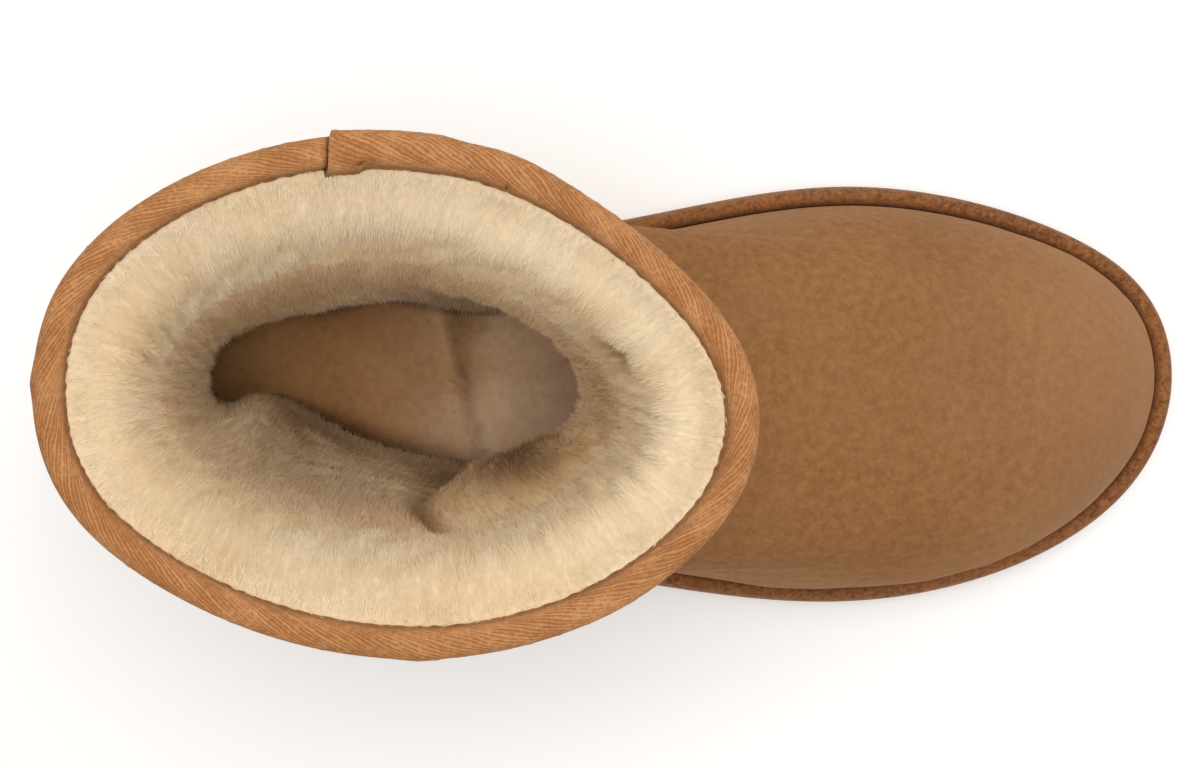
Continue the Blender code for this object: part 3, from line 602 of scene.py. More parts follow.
def set_node(node, **values):
    """Sets a node's sockets, which are named in capitals or by i and a number, to
    numbers, hex colours or other nodes' outputs, the stops of its colour ramp, and
    its own properties, which are named in small letters."""
    for name, value in values.items():
        if name == "stops":
            ramp = node.color_ramp.elements
            while len(ramp) < len(value):
                ramp.new(0.5)
            for stop, (stop.position, colour) in zip(ramp, value):
                stop.color = linear(colour)
        elif name[0].isupper() or name[1:].isdigit():
            socket = node.inputs[int(name[1:]) if name[1:].isdigit() else name.replace("_", " ")]
            if isinstance(value, bpy.types.NodeSocket):
                node.id_data.links.new(value, socket)
            else:
                socket.default_value = linear(value) if isinstance(value, str) else value
        else:
            setattr(node, name, value)


def add_node(tree, kind, output=0, **values):
    """Adds a node with its settings and links, and gives one of its outputs."""
    made = tree.nodes.new("ShaderNode" + kind)
    set_node(made, **values)
    return made.outputs[output]


def new_finish(name, **values):
    """A material with only a Principled shader, whose sockets take the values, and
    the function that adds nodes to it."""
    made = bpy.data.materials.new(name)
    made.use_nodes = True
    set_node(made.node_tree.nodes["Principled BSDF"], **values)
    return made, functools.partial(add_node, made.node_tree)


def blotch(size_mm):
    """Scale of a noise whose blotches are about this wide on the object itself."""
    return 500.0 / size_mm


def speckled(node, low, high, dark, light, first, *others):
    """Colour between two by a sum of patterns, stretched from low to high: the
    first one whole, and the others times their weights."""
    for pattern, weight in others:
        first = node("Math", operation="MULTIPLY_ADD", i0=pattern, i1=weight, i2=first)
    share = node("MapRange", Value=first, From_Min=low, From_Max=high)
    return node("Mix", 2, data_type="RGBA", i0=share, i6=dark, i7=light)


def dress(made, node, colour, *bumps, hollow=None):
    """Ends a finish. Where its piece's own values are low it takes the hollow's colour,
    which is painted shade, and on the tape also real marks. Bumps are laid over each
    other: a height, its depth in millimetres and its strength."""
    if hollow:
        pale = node("Attribute", "Fac", attribute_name="pale")
        colour = node("Mix", 2, data_type="RGBA", i0=pale, i6=hollow, i7=colour)
    before = {}
    for height, depth, strength in bumps:
        bump = node("Bump", Height=height, Distance=depth / 1000, Strength=strength, **before)
        before = {"Normal": bump}
    set_node(made.node_tree.nodes["Principled BSDF"], Base_Color=colour, **before)
    return made


def suede_finish(name, dark, light, edge):
    """Brushed sheepskin suede: cloudy shading 26 mm across where the nap was
    stroked, blotches of 1.2 mm and fibres of half a millimetre, paler towards the
    toe, with a pale sheen at grazing angles. It gives the eye a soft, dry, slightly
    uneven skin."""
    shine = {"Sheen_Weight": 0.10, "Sheen_Roughness": 0.45, "Sheen_Tint": "#e0b88c"}
    made, node = new_finish(name, Roughness=0.95, Specular_IOR_Level=0.12, **shine)
    place = node("TexCoord", "Object")
    clouds = node("TexNoise", Vector=place, Scale=blotch(26))
    blotches = node("TexNoise", Vector=place, Scale=blotch(1.2), Detail=3.0, Roughness=0.7)
    fibres = node("TexNoise", Vector=place, Scale=blotch(0.45), Roughness=0.6)
    colour = speckled(node, 0.70, 1.20, dark, light, blotches, (clouds, 0.55), (fibres, 0.35))
    warm = node("TexNoise", Vector=place, Scale=blotch(16))
    warm = node("MapRange", Value=warm, From_Min=0.42, From_Max=0.72, To_Max=0.35)
    colour = node("Mix", 2, data_type="RGBA", i0=warm, i6=colour, i7=edge)
    front = node("SeparateXYZ", "X", Vector=place)
    toe = node("MapRange", Value=front, From_Min=0.060, From_Max=0.122, To_Max=0.38)
    colour = node("Mix", 2, data_type="RGBA", i0=toe, i6=colour, i7="#ae8262")
    return dress(made, node, colour, (fibres, 0.10, 0.8), (blotches, 0.22, 0.6))


def foam_finish():
    """Moulded foam rubber with a sanded skin: grains of a millimetre and fine pits,
    paler where they stand proud, and dark as painted shade where the piece's own
    values are low. It gives the eye a dull, dense sole."""
    shine = {"Sheen_Weight": 0.10, "Sheen_Roughness": 0.5}
    made, node = new_finish("moulded_foam", Roughness=0.78, Specular_IOR_Level=0.25, **shine)
    place = node("TexCoord", "Object")
    clouds = node("TexNoise", Vector=place, Scale=blotch(30))
    grains = node("TexNoise", Vector=place, Scale=blotch(0.9), Detail=3.0, Roughness=0.7)
    pits = node("TexNoise", Vector=place, Scale=blotch(0.45))
    colour = speckled(node, 0.74, 1.16, "#6a3e1f", "#9c6638", grains, (clouds, 0.5), (pits, 0.4))
    return dress(made, node, colour, (pits, 0.07, 0.7), (grains, 0.14, 0.6), hollow="#5c3214")


def wool_finish(name, deep, shade, crest):
    """Combed sheep's wool. The piece's own values say how pale each point is, from
    the shaded roots to the crests of the locks; patches of 14 mm turn cream-yellow
    and patches of 6 mm greyish. It gives the eye a matt pile with warm hollows."""
    shine = {"Sheen_Weight": 0.12, "Sheen_Roughness": 0.6, "Sheen_Tint": "#fff3dc"}
    made, node = new_finish(name, Roughness=1.0, Specular_IOR_Level=0.05, **shine)
    pale = node("Attribute", "Fac", attribute_name="pale")
    colour = node("ValToRGB", stops=((0.0, deep), (0.45, shade), (1.0, crest)), Fac=pale)
    place = node("TexCoord", "Object")
    tints = ((14, 0.40, 0.75, 0.50, "#f8e4bd"), (6, 0.50, 0.75, 0.35, "#ecdcc4"))
    for size, low, high, most, tint in tints:
        share = node("TexNoise", Vector=place, Scale=blotch(size))
        share = node("MapRange", Value=share, From_Min=low, From_Max=high, To_Max=most)
        shaded = {"data_type": "RGBA", "blend_type": "MULTIPLY"}
        colour = node("Mix", 2, **shaded, i0=share, i6=colour, i7=tint)
    fine = node("TexNoise", Vector=place, Scale=blotch(0.8))
    broad = node("TexNoise", Vector=place, Scale=blotch(2.6))
    return dress(made, node, colour, (fine, 0.15, 0.6), (broad, 0.35, 0.5))


def tape_finish():
    """Herringbone cotton tape. Along the piece's own map, in metres, ribs run at
    17 degrees to its length and turn back at its middle line; each rib is a bundle
    of yarns of its own tone, and the valleys between them are painted red-brown as
    shade, but where the tape is worn or lies at its edges. Where its own values are
    low it is dark brown, as painted shade and shadow, and in real marks. It gives the
    eye a woven edge with its slant ribs and frayed fibres."""
    shine = {"Sheen_Weight": 0.05, "Sheen_Roughness": 0.4}
    made, node = new_finish("herringbone_tape", Roughness=0.92, Specular_IOR_Level=0.15, **shine)
    flat = node("UVMap", uv_map="along_tape")
    along, across = (node("SeparateXYZ", axis, Vector=flat) for axis in "XY")
    place = node("TexCoord", "Object")
    wobble = node("TexNoise", Vector=place, Scale=blotch(3.0))
    along = node("Math", operation="DIVIDE", i0=along, i1=RIB_PITCH / math.sin(RIB_ANGLE))
    along = node("Math", operation="MULTIPLY_ADD", i0=wobble, i1=1.2, i2=along)
    folded = node("Math", operation="ABSOLUTE", i0=across)
    folded = node("Math", operation="DIVIDE", i0=folded, i1=RIB_PITCH / math.cos(RIB_ANGLE))
    count = node("Math", operation="SUBTRACT", i0=along, i1=folded)
    wave = node("Math", operation="MULTIPLY", i0=count, i1=FULL_TURN)
    wave = node("Math", operation="COSINE", i0=wave)
    ribs = node("MapRange", Value=wave, From_Min=-1.2, From_Max=0.3)
    whole = node("Math", operation="ROUND", i0=count)
    tones = node("TexWhiteNoise", noise_dimensions="1D", W=whole)
    fibres = node("TexNoise", Vector=place, Scale=blotch(0.42), Roughness=0.6)
    clouds = node("TexNoise", Vector=place, Scale=blotch(4))
    yarn = speckled(node, 0.62, 1.22, "#a36b3e", "#c7905f", fibres, (tones, 0.30), (clouds, 0.60))
    floats = node("TexNoise", Vector=place, Scale=blotch(0.45), Detail=1.0)
    plain = node("MapRange", Value=floats, From_Min=0.42, From_Max=0.80)
    edges = ((across, 0.0032, 0.0050, 0.75), (across, 0.0002, -0.0014, 0.70))
    for pattern, low, high, weight in ((clouds, 0.46, 0.62, 0.45), *edges):
        share = node("MapRange", Value=pattern, From_Min=low, From_Max=high)
        plain = node("Math", operation="MULTIPLY_ADD", i0=share, i1=weight, i2=plain)
    level = node("Math", operation="MAXIMUM", use_clamp=True, i0=ribs, i1=plain)
    # The valleys between the ribs are painted red-brown, as shade.
    colour = node("Mix", 2, data_type="RGBA", i0=level, i6="#935a32", i7=yarn)
    return dress(made, node, colour, (fibres, 0.06, 0.7), (ribs, 0.08, 0.7), hollow="#4d2a12")


def felt_finish():
    """Trodden woollen felt: brown where the heel has worn it, pinker towards the
    toe, in soft patches of 13 mm with loose fibres of a millimetre, and darkened as
    painted shade where its own values say. It gives the eye a worn, warm insole."""
    shine = {"Sheen_Weight": 0.08, "Sheen_Roughness": 0.6}
    made, node = new_finish("trodden_felt", Roughness=1.0, Specular_IOR_Level=0.05, **shine)
    place = node("TexCoord", "Object")
    patches = node("TexNoise", Vector=place, Scale=blotch(13))
    fibres = node("TexNoise", Vector=place, Scale=blotch(1.1), Detail=3.0)
    worn = speckled(node, 0.85, 1.85, "#a06f3f", "#c7925a", fibres, (patches, 1.6))
    clean = speckled(node, 0.85, 1.85, "#dab088", "#f8d8b4", fibres, (patches, 1.6))
    pink = node("Attribute", "Fac", attribute_name="pink")
    colour = node("Mix", 2, data_type="RGBA", i0=pink, i6=worn, i7=clean)
    return dress(made, node, colour, (fibres, 0.25, 0.7), (patches, 0.5, 0.4), hollow="#40220e")


def thread_finish():
    """Waxed cotton sewing thread, whose twist shows as slanting light and dark. It
    gives the eye tight, slightly glossy stitches."""
    made, node = new_finish("waxed_thread", Roughness=0.62, Sheen_Weight=0.1)
    place = node("TexCoord", "Object")
    slanting = {"bands_direction": "DIAGONAL", "Scale": 620.0, "Distortion": 1.5}
    twist = node("TexWave", "Fac", Vector=place, **slanting)
    colour = node("Mix", 2, data_type="RGBA", i0=twist, i6="#7d5431", i7="#a87a4e")
    return dress(made, node, colour, (twist, 0.05, 1.0))


SUEDE = suede_finish("brushed_suede", "#8a5c37", "#a77748", "#9a6a48")
COUNTER_SUEDE = suede_finish("counter_suede", "#84562f", "#a07044", "#95653f")
FOAM = foam_finish()
PILE = wool_finish("combed_wool", "#8c6f52", "#cdb38d", "#f3e0bf")
INNER_PILE = wool_finish("trodden_wool", "#6a492b", "#c4a27b", "#f6debd")
TAPE = tape_finish()
FELT = felt_finish()
THREAD = thread_finish()


def ring_piece(name, rows, finish, slot, nodes):
    """A closed ring from grids of points, one row each, that run round the wall's
    section and meet again at the first."""
    return add_piece(name, rows, grid_faces(*rows.shape[:2]), finish, slot, nodes)


def above_footbed(rows):
    """Keeps every point of a wall a clearance above the sole's upper face."""
    rows[..., 2] = np.maximum(rows[..., 2], footbed_at(rows[..., 0]) + GAP)
    return rows


def make_upper():
    """The hide: the loft with its folds outside, and a plain offset of it inside."""
    turns = round_turns(HIDE_TURNS)
    by_lip, wall = np.linspace(0, LIP_LEVEL, 4)[:-1], np.linspace(LIP_LEVEL, LOFT_HEIGHT, HIDE_ROWS)
    outside = hide(turns, np.concatenate([by_lip, wall])[:, None])
    inside = off_loft(turns, np.linspace(LOFT_HEIGHT, 0, 24)[:, None], -HIDE_THICKNESS)
    rows = above_footbed(np.concatenate([outside, inside]))
    ring_piece("suede_upper", rows, SUEDE, "suede", ["upper"])


def pile_depth(turn, level):
    """Depth of the pile: its shoulder under the tape, times its swells, plus big
    tufts of 15 mm, combed streaks of 3 mm by 20 mm near the collar and cross waves
    of 5 mm on the walls, which fade out at the tape and at the insole."""
    drop = (LOFT_HEIGHT - level) * 1000
    puffed = np.interp(drop, *np.transpose(PILE_SHOULDER))
    share = level / LOFT_HEIGHT
    extra = 0.0
    for _, middle, spread, start, full, gone, amount in PILE_SWELLS:
        grown = (1 - eased(full, start, share)) * eased(gone, gone + PILE_SWELL_FADE, share)
        extra = extra + amount * bell(from_turn(turn, middle), spread) * grown
    fade = eased(2.8, 7.0, drop) * eased(KNOTS[2], KNOTS[3], level)
    tufts = 0.00028 * ring_noise(turn, level, 0.015, 0.022, 21)
    streaks = 0.00012 * ring_noise(turn, level, *PILE_STREAKS) * eased(0.55, 0.85, share)
    strands = 0.00005 * ring_noise(turn, level, *PILE_WAVES) * (1 - eased(0.55, 0.75, share))
    hollows = 0.0026 * pile_parting(turn, level) + 0.0022 * pile_hollow(turn, level)
    depth = PILE_EDGE + (PILE_DEPTH - PILE_EDGE) * puffed + PILE_DEPTH * extra
    return depth + fade * (tufts + streaks + strands - hollows)


def pile_parting(turn, level):
    """How deep in a parting of the pile each place is, from 0 to 1. The pile parts
    along both side seams, in a bell shape across them that opens downwards."""
    share = level / LOFT_HEIGHT
    total = 0.0
    for side, strength in ((1, 0.20), (-1, 1.0)):
        away = (turn - np.interp(level, *seam_turns(side)) + math.pi) % FULL_TURN - math.pi
        width = 0.050 + 0.070 * (1 - eased(0.35, 0.80, share))
        total = total + strength * bell(away, width) * (1 - eased(0.76, 0.90, share))
    return total


def pile_painted_shade(turn, level):
    """Painted shade in the wool, and painted light where below zero: bells round the listed places.
    """
    total = 0.0
    for _, middle, spread, height, rise, amount in PILE_SHADES:
        across, along = from_turn(turn, middle) / spread, (level / LOFT_HEIGHT - height) / rise
        total = total + amount * np.exp(-(across**2) - along**2)
    return total


def pile_hollow(turn, level):
    """How deep in the small hollow at the inner front each place is, 0 to 1."""
    middle, spread, height, rise = PILE_HOLLOW
    across, along = (np.degrees(turn) - middle) / spread, (level / LOFT_HEIGHT - height) / rise
    return np.exp(-(across**2) - along**2)


@functools.cache
def seam_turns(side):
    """Levels and turns of a side seam, lowest first, to read between."""
    turn, level = on_wall(side_seam_line(), side)
    order = np.argsort(level)
    return level[order], turn[order]


def pile_grid():
    """Turns, levels and points of the pile's inner surface, from the tape down:
    the wall moved inwards by the pile's depth."""
    stops, counts = (LOFT_HEIGHT - 0.030, 0.125, 0.062, 0.0), (11, 50, 22)
    rest = [np.linspace(a, b, n)[:-1] for a, b, n in zip(stops, stops[1:], counts)]
    levels = np.concatenate([LOFT_HEIGHT - PILE_DROPS, *rest, [0.0]])[:, None]
    turns = round_turns(PILE_COLUMNS)
    inwards = HIDE_THICKNESS + GAP + pile_depth(turns, levels)
    return turns, levels, above_footbed(off_loft(turns, levels, -inwards))


def make_lining():
    """The pile's body: its locks inside, and a plain wall against the hide."""
    turns, levels, inside = pile_grid()
    behind = np.linspace(0, LOFT_HEIGHT, 22)[:, None]
    backing = above_footbed(off_loft(turns, behind, -(HIDE_THICKNESS + GAP)))
    rows = np.concatenate([backing, inside])
    made = ring_piece("fleece_body", rows, PILE, "wool", ["fleece_lining"])
    drop = np.broadcast_to(LOFT_HEIGHT - levels, inside.shape[:2])
    # Painted shade in the wool's paleness: darker deeper down and towards the toe, paler towards the
    # heel, in the partings along the seams, in the small hollow and at the listed places, which also
    # paint light; waves and streaks are its own tone.
    deep = eased(0.012, 0.060, drop)
    waves = ring_noise(turns, levels, *PILE_WAVES) + np.cos(turns) - 2
    tones = 0.86 + 0.04 * deep * waves - 0.50 * pile_parting(turns, levels)
    tones = tones - pile_painted_shade(turns, levels) - 0.66 * pile_hollow(turns, levels)
    tones = tones + 0.05 * ring_noise(turns, levels, *PILE_STREAKS) * (1 - 0.8 * deep)
    middling = np.full(backing.shape[:2], 0.5)
    add_values(made, "pale", np.concatenate([middling, np.clip(tones, 0, 1)]))
    drops = np.concatenate([0 * middling, drop])
    raise_normals(made, turned_up(turns, drops).ravel())


def turned_up(turn, drop):
    """How far shading turns up where wool faces sideways: its hairs stand on end
    there, on the collar more than on the trodden walls. At the inner side the
    clean collar reaches deeper, in a bell shape round its middle and down it."""
    inner = bell(from_turn(turn, 52), 60)
    start, end = 0.012 + 0.015 * inner, 0.045 + 0.015 * inner
    upward = PILE_UPWARD[0] + (PILE_UPWARD[1] - PILE_UPWARD[0]) * eased(start, end, drop)
    return upward + inner * bell(drop - 0.024, 0.016)


def raise_normals(made, upward):
    """Turns a piece's shading up where it faces sideways, as for its fibres."""
    normals = np.empty(3 * len(made.data.vertices))
    made.data.vertices.foreach_get("normal", normals)
    normals = normals.reshape(-1, 3)
    normals[:, 2] += upward * (1 - np.clip(normals[:, 2], 0, 1))
    made.data.normals_split_custom_set_from_vertices(unit(normals))


def lay_on_grid(points, count, dice, weight=1.0):
    """Places on a surface grid that closes on itself sideways, as many as its area
    asks for: cells are drawn by their area times the weight, and a place lies at
    two random shares of its cell. Gives each place's point, normal, downward
    direction, row and column."""
    points = np.concatenate([points, points[:, :1]], axis=1)
    down, side = np.gradient(points, axis=0), np.gradient(points, axis=1)
    normal = unit(np.cross(down, side))
    corner = points[:-1, :-1]
    cells = np.linalg.norm(np.cross(points[1:, :-1] - corner, points[:-1, 1:] - corner), axis=-1)
    chance = np.cumsum((cells * weight).ravel())
    drawn = np.searchsorted(chance, dice.random(count) * chance[-1]).clip(0, cells.size - 1)
    row, column = np.divmod(drawn, cells.shape[1])
    s, t = dice.random(count)[:, None], dice.random(count)[:, None]
    shares = ((0, 0, (1 - s) * (1 - t)), (1, 0, s * (1 - t)), (0, 1, (1 - s) * t), (1, 1, s * t))

    def read(values):
        return sum(values[row + i, column + j] * share for i, j, share in shares)

    return read(points), unit(read(normal)), unit(read(down)), row + s[:, 0], column + t[:, 0]


def make_blades(name, laid, heading, size, pale, finish, slot, dice, upward=0.0, mixed=0.14):
    """Loose fibres, each one narrow triangle, from their laid places and normals.
    Its base lies sunk in the pile across its own heading, and its tip lies a length
    away. Its shading follows the pile's normal, turned up by a share where the pile
    faces sideways, because its hairs stand on end there, and a little to all sides."""
    (root, normal), (length, width) = laid, size
    heading = unit(heading)
    base = root - normal * FIBRE_SUNK
    half = unit(np.cross(heading, normal)) * (width / 2)[:, None]
    tip = base + heading * length[:, None]
    corners = np.stack([base - half, base + half, tip], axis=1)
    facing = np.cross(corners[:, 1] - corners[:, 0], corners[:, 2] - corners[:, 0])
    turned = np.einsum("ni,ni->n", facing, normal) < 0
    corners[turned] = corners[turned][:, [1, 0, 2]]
    faces = np.arange(3 * len(root)).reshape(-1, 3)
    made = add_piece(name, corners, faces, finish, slot, closed=False)
    raised = np.zeros(root.shape)
    raised[:, 2] = upward * (1 - np.clip(normal[:, 2], 0, 1))
    soft = unit(normal + raised + mixed * dice.normal(size=root.shape))
    made.data.normals_split_custom_set_from_vertices(np.repeat(soft, 3, axis=0))
    # Each fibre is darker at its base, as painted shade among the fibres, and paler at its tip.
    tones = np.stack([pale - 0.06, pale - 0.06, pale + 0.06], axis=1)
    add_values(made, "pale", np.clip(tones, 0, 1))
    return made


def seen_share(points):
    """How much of each grid cell counts when fibres are laid: all that an eye above
    the collar can reach, little of the toe box, nothing under the insole."""
    x, z = points[:-1, :, 0], points[:-1, :, 2]
    above_insole = z > footbed_at(x) + INSOLE_THICKNESS - 0.002
    return above_insole * (1 - 0.85 * eased(-0.005, 0.025, x))


def make_pile():
    """Fibres all over the lining: dense and long on the puffed collar, shorter and
    less combed down the walls, where waves of tone show and painted shade darkens
    them towards the toe, and at the insole laid over its edge. They carry the
    pile's painted shade."""
    _, levels, inside = pile_grid()
    bands = (
        # name, first and last row, fibres, shortest, longest, widest, lift, sway,
        # fall of tone as painted shade, unevenness of tone, unevenness of shading, finish
        ("fleece_collar", 0, 34, 132000)
        + (0.0020, 0.0042, 0.00050, 0.26, 0.22, 0.04, 0.03, 0.14, PILE),
        ("fleece_walls", 30, len(levels) - 2, 150000)
        + (0.0018, 0.0038, 0.00027, 0.24, 0.26, 0.08, 0.11, 0.22, INNER_PILE),
    )
    for wall, (name, first, last, count, *rest) in enumerate(bands):
        shortest, longest, widest, lift, loose, fall, uneven, mixed, finish = rest
        dice = np.random.default_rng(40 + wall)
        patch = inside[first : last + 1]
        root, normal, along, row, column = lay_on_grid(patch, count, dice, seen_share(patch))
        level = np.interp(row + first, np.arange(len(levels)), levels[:, 0])
        turn = column / PILE_COLUMNS * FULL_TURN
        drop = LOFT_HEIGHT - level
        share = (row - row.min()) / (row.max() - row.min())
        locks = ring_noise(turn, level, 0.0045, 0.016, 31)
        waves = ring_noise(turn, level, *PILE_WAVES)
        combed = 0.45 * ring_noise(turn, level, 0.007, 0.018, 32)
        combed = combed + wall * 1.4 * ring_noise(turn, level, 0.040, 0.030, 34, 8)
        sway = loose * (combed + dice.normal(size=count))
        curled = 0.88 + 0.12 * locks.clip(-1, 1)
        length = shortest + (longest - shortest) * dice.random(count) * curled
        # Painted shade: darker in the partings along the seams, in the small hollow, at the listed
        # places and deeper down the band, and on the walls darker towards the toe and paler towards
        # the heel.
        painted_shade = 0.50 * pile_parting(turn, level) + 0.66 * pile_hollow(turn, level)
        painted_shade = painted_shade + pile_painted_shade(turn, level)
        tones = 0.88 - fall * share + 0.02 * locks + uneven * dice.normal(size=count) - painted_shade
        tones = tones + (0.05 * waves + 0.07 * np.cos(turn)) * eased(0.1, 0.3, share) * wall
        clear = root[:, 2] - footbed_at(root[:, 0]) - INSOLE_THICKNESS
        upright = eased(0.018, 0.036, drop) * bell(normal[:, 2], 0.30)
        lifts = lift * dice.uniform(0.45, 1.4, count) + 0.9 * eased(0.010, 0.001, clear)
        lifts = lifts + 0.55 * upright
        across = unit(np.cross(along, normal))
        heading = along + normal * lifts[:, None] + across * sway[:, None]
        size = length, widest * dice.uniform(0.45, 1.0, count)
        kind = (finish, "wool", dice, turned_up(turn, drop), mixed)
        make_blades(name, (root, normal), heading, size, tones, *kind)


def make_rim(count=9000):
    """Fibres that stick out from under the tape, most of them over the collar."""
    dice = np.random.default_rng(44)
    root, normal, along, row, _ = lay_on_grid(pile_grid()[2][1:4], count, dice)
    near = 1 - row / row.max()
    across = unit(np.cross(along, normal))
    lean = np.where(dice.random(count) < 0.3, -0.15, 1.1) + 0.9 * (1 - near)
    lean = lean + 0.25 * dice.normal(size=count)
    heading = normal + along * lean[:, None] + across * (0.30 * dice.normal(size=count))[:, None]
    length = (0.0014 + 0.0030 * dice.random(count)) * (0.60 + 0.40 * near)
    tones = 0.96 + 0.03 * dice.normal(size=count)
    size = length, dice.uniform(0.00020, 0.00042, count)
    make_blades("fleece_rim", (root, normal), heading, size, tones, PILE, "wool", dice, upward=0.9)


def tape_thickness(turn, after, outside):
    """The tape's thickness over the hide. After the cut end, where it laps over
    its own start, it is thicker and springs up; kinks are bell-shaped."""
    half_collar = COLLAR_LENGTH / 2
    full, gone = (TAPE_LAP_LENGTH - TAPE_LAP_TAPER) / half_collar, TAPE_LAP_LENGTH / half_collar
    lap = TAPE_LAP * (1 - eased(full, gone, after)) * (1 + 0.45 * outside * np.exp(-after / 0.05))
    kinks = sum(out / 1000 * bell(from_turn(turn, at), spread) for at, spread, out in TAPE_KINKS)
    return TAPE_THICKNESS + lap * (1.0 if outside else 0.5) + kinks * outside


def make_tape():
    """The collar's folded tape, from its cut end round to where that end laps over
    it. Its section runs up the outside, over a crown, a half ellipse, and down the
    inside. Ribs stand proud of it as cosine waves at an angle to its length, and
    turn back at its middle line."""
    ends = np.array([0, 0.0004, 0.0010, 0.0020, 0.0036, 0.0060])
    between = np.linspace(0.009, FULL_TURN - 0.009, TAPE_PLACES)
    after = np.concatenate([ends, between, FULL_TURN - ends[::-1]])
    after[-1] = FULL_TURN - 0.0002
    turn = TAPE_JOIN + after
    rim = LOFT_HEIGHT
    grip = HIDE_THICKNESS + GAP + PILE_EDGE + GAP
    small = ring_noise(turn, 0.0, 0.0045, 1.0, 62)
    out_drop = TAPE_OUTSIDE_DROP + 0.00025 * ring_noise(turn, 0.0, 0.035, 1.0, 61) + 0.00008 * small
    flap = (1 - eased(0.078, 0.106, after)) * eased(-0.001, 0.001, after)
    in_drop = TAPE_INSIDE_DROP + 0.00030 * ring_noise(turn, 0.0, 0.030, 1.0, 63)
    in_drop = in_drop + 0.00012 * small + 0.0006 * flap
    base, outward = loft(turn, rim), wall_direction(turn, rim)
    run = run_along(base)
    outer, inner = tape_thickness(turn, after, 1.0), tape_thickness(turn, after, 0.0)
    near_ends = np.exp(-after / 0.09) + np.exp(-(FULL_TURN - after) / 0.09)
    to_crown, to_inside = TAPE_OUTSIDE_DROP, TAPE_OUTSIDE_DROP + TAPE_CROWN_WIDTH
    sections = [("outside", s, (1 - s) * TAPE_OUTSIDE_DROP) for s in np.linspace(1, 0, 22)]
    sections += [("crown", s, to_crown + s * TAPE_CROWN_WIDTH) for s in np.linspace(0, 1, 19)[1:-1]]
    sections += [("inside", s, to_inside + s * TAPE_INSIDE_DROP) for s in np.linspace(0, 1, 10)]
    points, across = [], []
    for part, share, v in sections:
        way = run * math.sin(RIB_ANGLE) - abs(v - TAPE_MIDDLE) * math.cos(RIB_ANGLE)
        rib = np.cos(FULL_TURN / RIB_PITCH * way)
        relief = RIB_HEIGHT * rib * (1 - eased(0.0152, 0.0172, v)) + 0.00005 * small
        slanted = turn + TAPE_CUT_SLANT * (0.5 - v / TAPE_WIDTH) * near_ends
        if part == "crown":
            reach_out, reach_in = GAP + outer, grip + inner + 0.0009 * flap
            centre, half = (reach_out - reach_in) / 2, (reach_out + reach_in) / 2
            angle = math.pi * share
            swing = math.copysign(abs(math.cos(angle)) ** 0.85, math.cos(angle))
            place = loft(slanted, rim) + outward * (centre + half * swing)[:, None]
            place[:, 2] += (GAP + outer + TAPE_CROWN + relief) * math.sin(angle) ** 0.75
        elif part == "outside":
            level = rim - out_drop * share
            out = GAP + outer + relief + 0.00030 * math.sin(math.pi * share)
            place = loft(slanted, level) + wall_direction(turn, level) * out[:, None]
        else:
            level = rim - in_drop * share
            inwards = grip + inner + relief + 0.0009 * flap
            place = loft(slanted, level) - wall_direction(turn, level) * inwards[:, None]
        points.append(place)
        across.append(v)
    backs = ((-grip, in_drop, 0.0), (-grip, 0.0, GAP), (GAP, 0.0, GAP), (GAP, out_drop, 0.0))
    for offset, drop, lift in backs:
        wall = off_loft(turn, rim - drop, offset)
        wall[:, 2] += lift
        points.append(wall)
        across.append(across[-1] if offset < 0 else 0.0)
    made = ring_piece("collar_tape", np.array(points), TAPE, "tape", ["collar_binding"])
    u, v = np.broadcast_arrays(run[None, :], np.array(across)[:, None])
    add_uv(made, "along_tape", u, v - TAPE_MIDDLE)
    # Painted shadow: a dark line on the tape under the lap's cut end; the listed marks are real
    # holes and a pulled thread.
    dark = bell((FULL_TURN - after) * COLLAR_LENGTH / 2, 0.0009) + 0 * v
    for _, along, over, half_long, half_wide, amount in TAPE_MARKS:
        spot = ((u * 1000 - along) / half_long) ** 2 + ((v * 1000 - over) / half_wide) ** 2
        dark = np.maximum(dark, amount * np.exp(-spot))
    # Painted shade along the inner hem, where the tape meets the wool.
    hem_shade = eased(0.0174, 0.0186, v) * (0.24 + 0.10 * small)
    add_values(made, "pale", 1 - np.clip(dark + hem_shade, 0, 1))


def side_line(*bends):
    """A smooth side-view line through a few (x, z) points."""
    knots = run_along(np.array(bends))
    return smooth_rows(knots, bends, np.linspace(0, knots[-1], 60))


def side_seam_line():
    """Side view of the shaft's seam, from the sole's lip to under the tape."""
    foot_x = -0.300 * HALF_SOLE_LENGTH
    top_z = BOOT_HEIGHT - COLLAR_SLOPE / 2 - TAPE_OUTSIDE_DROP - SEAM_END_GAP
    return side_line(
        (foot_x, lip_top(foot_x) + SEAM_END_GAP),
        (-0.345 * HALF_SOLE_LENGTH, 0.50 * INSTEP_HEIGHT),
        (-0.385 * HALF_SOLE_LENGTH, 0.86 * INSTEP_HEIGHT),
        (-0.375 * HALF_SOLE_LENGTH, 1.09 * ANKLE_HEIGHT),
        (COLLAR_CENTRE + 0.115 * COLLAR_LENGTH, top_z),
    )


def vamp_seam_line():
    """Side view of the seam that crosses the instep from the side seams."""
    start_x = -0.370 * HALF_SOLE_LENGTH + SEAM_WIDTH + SEAM_END_GAP / 2
    return side_line(
        (start_x, 0.70 * INSTEP_HEIGHT),
        (-0.240 * HALF_SOLE_LENGTH, 0.775 * INSTEP_HEIGHT),
        (-0.080 * HALF_SOLE_LENGTH, 0.950 * INSTEP_HEIGHT),
        (0.20 * HALF_SOLE_LENGTH, 1.300 * INSTEP_HEIGHT),
    )


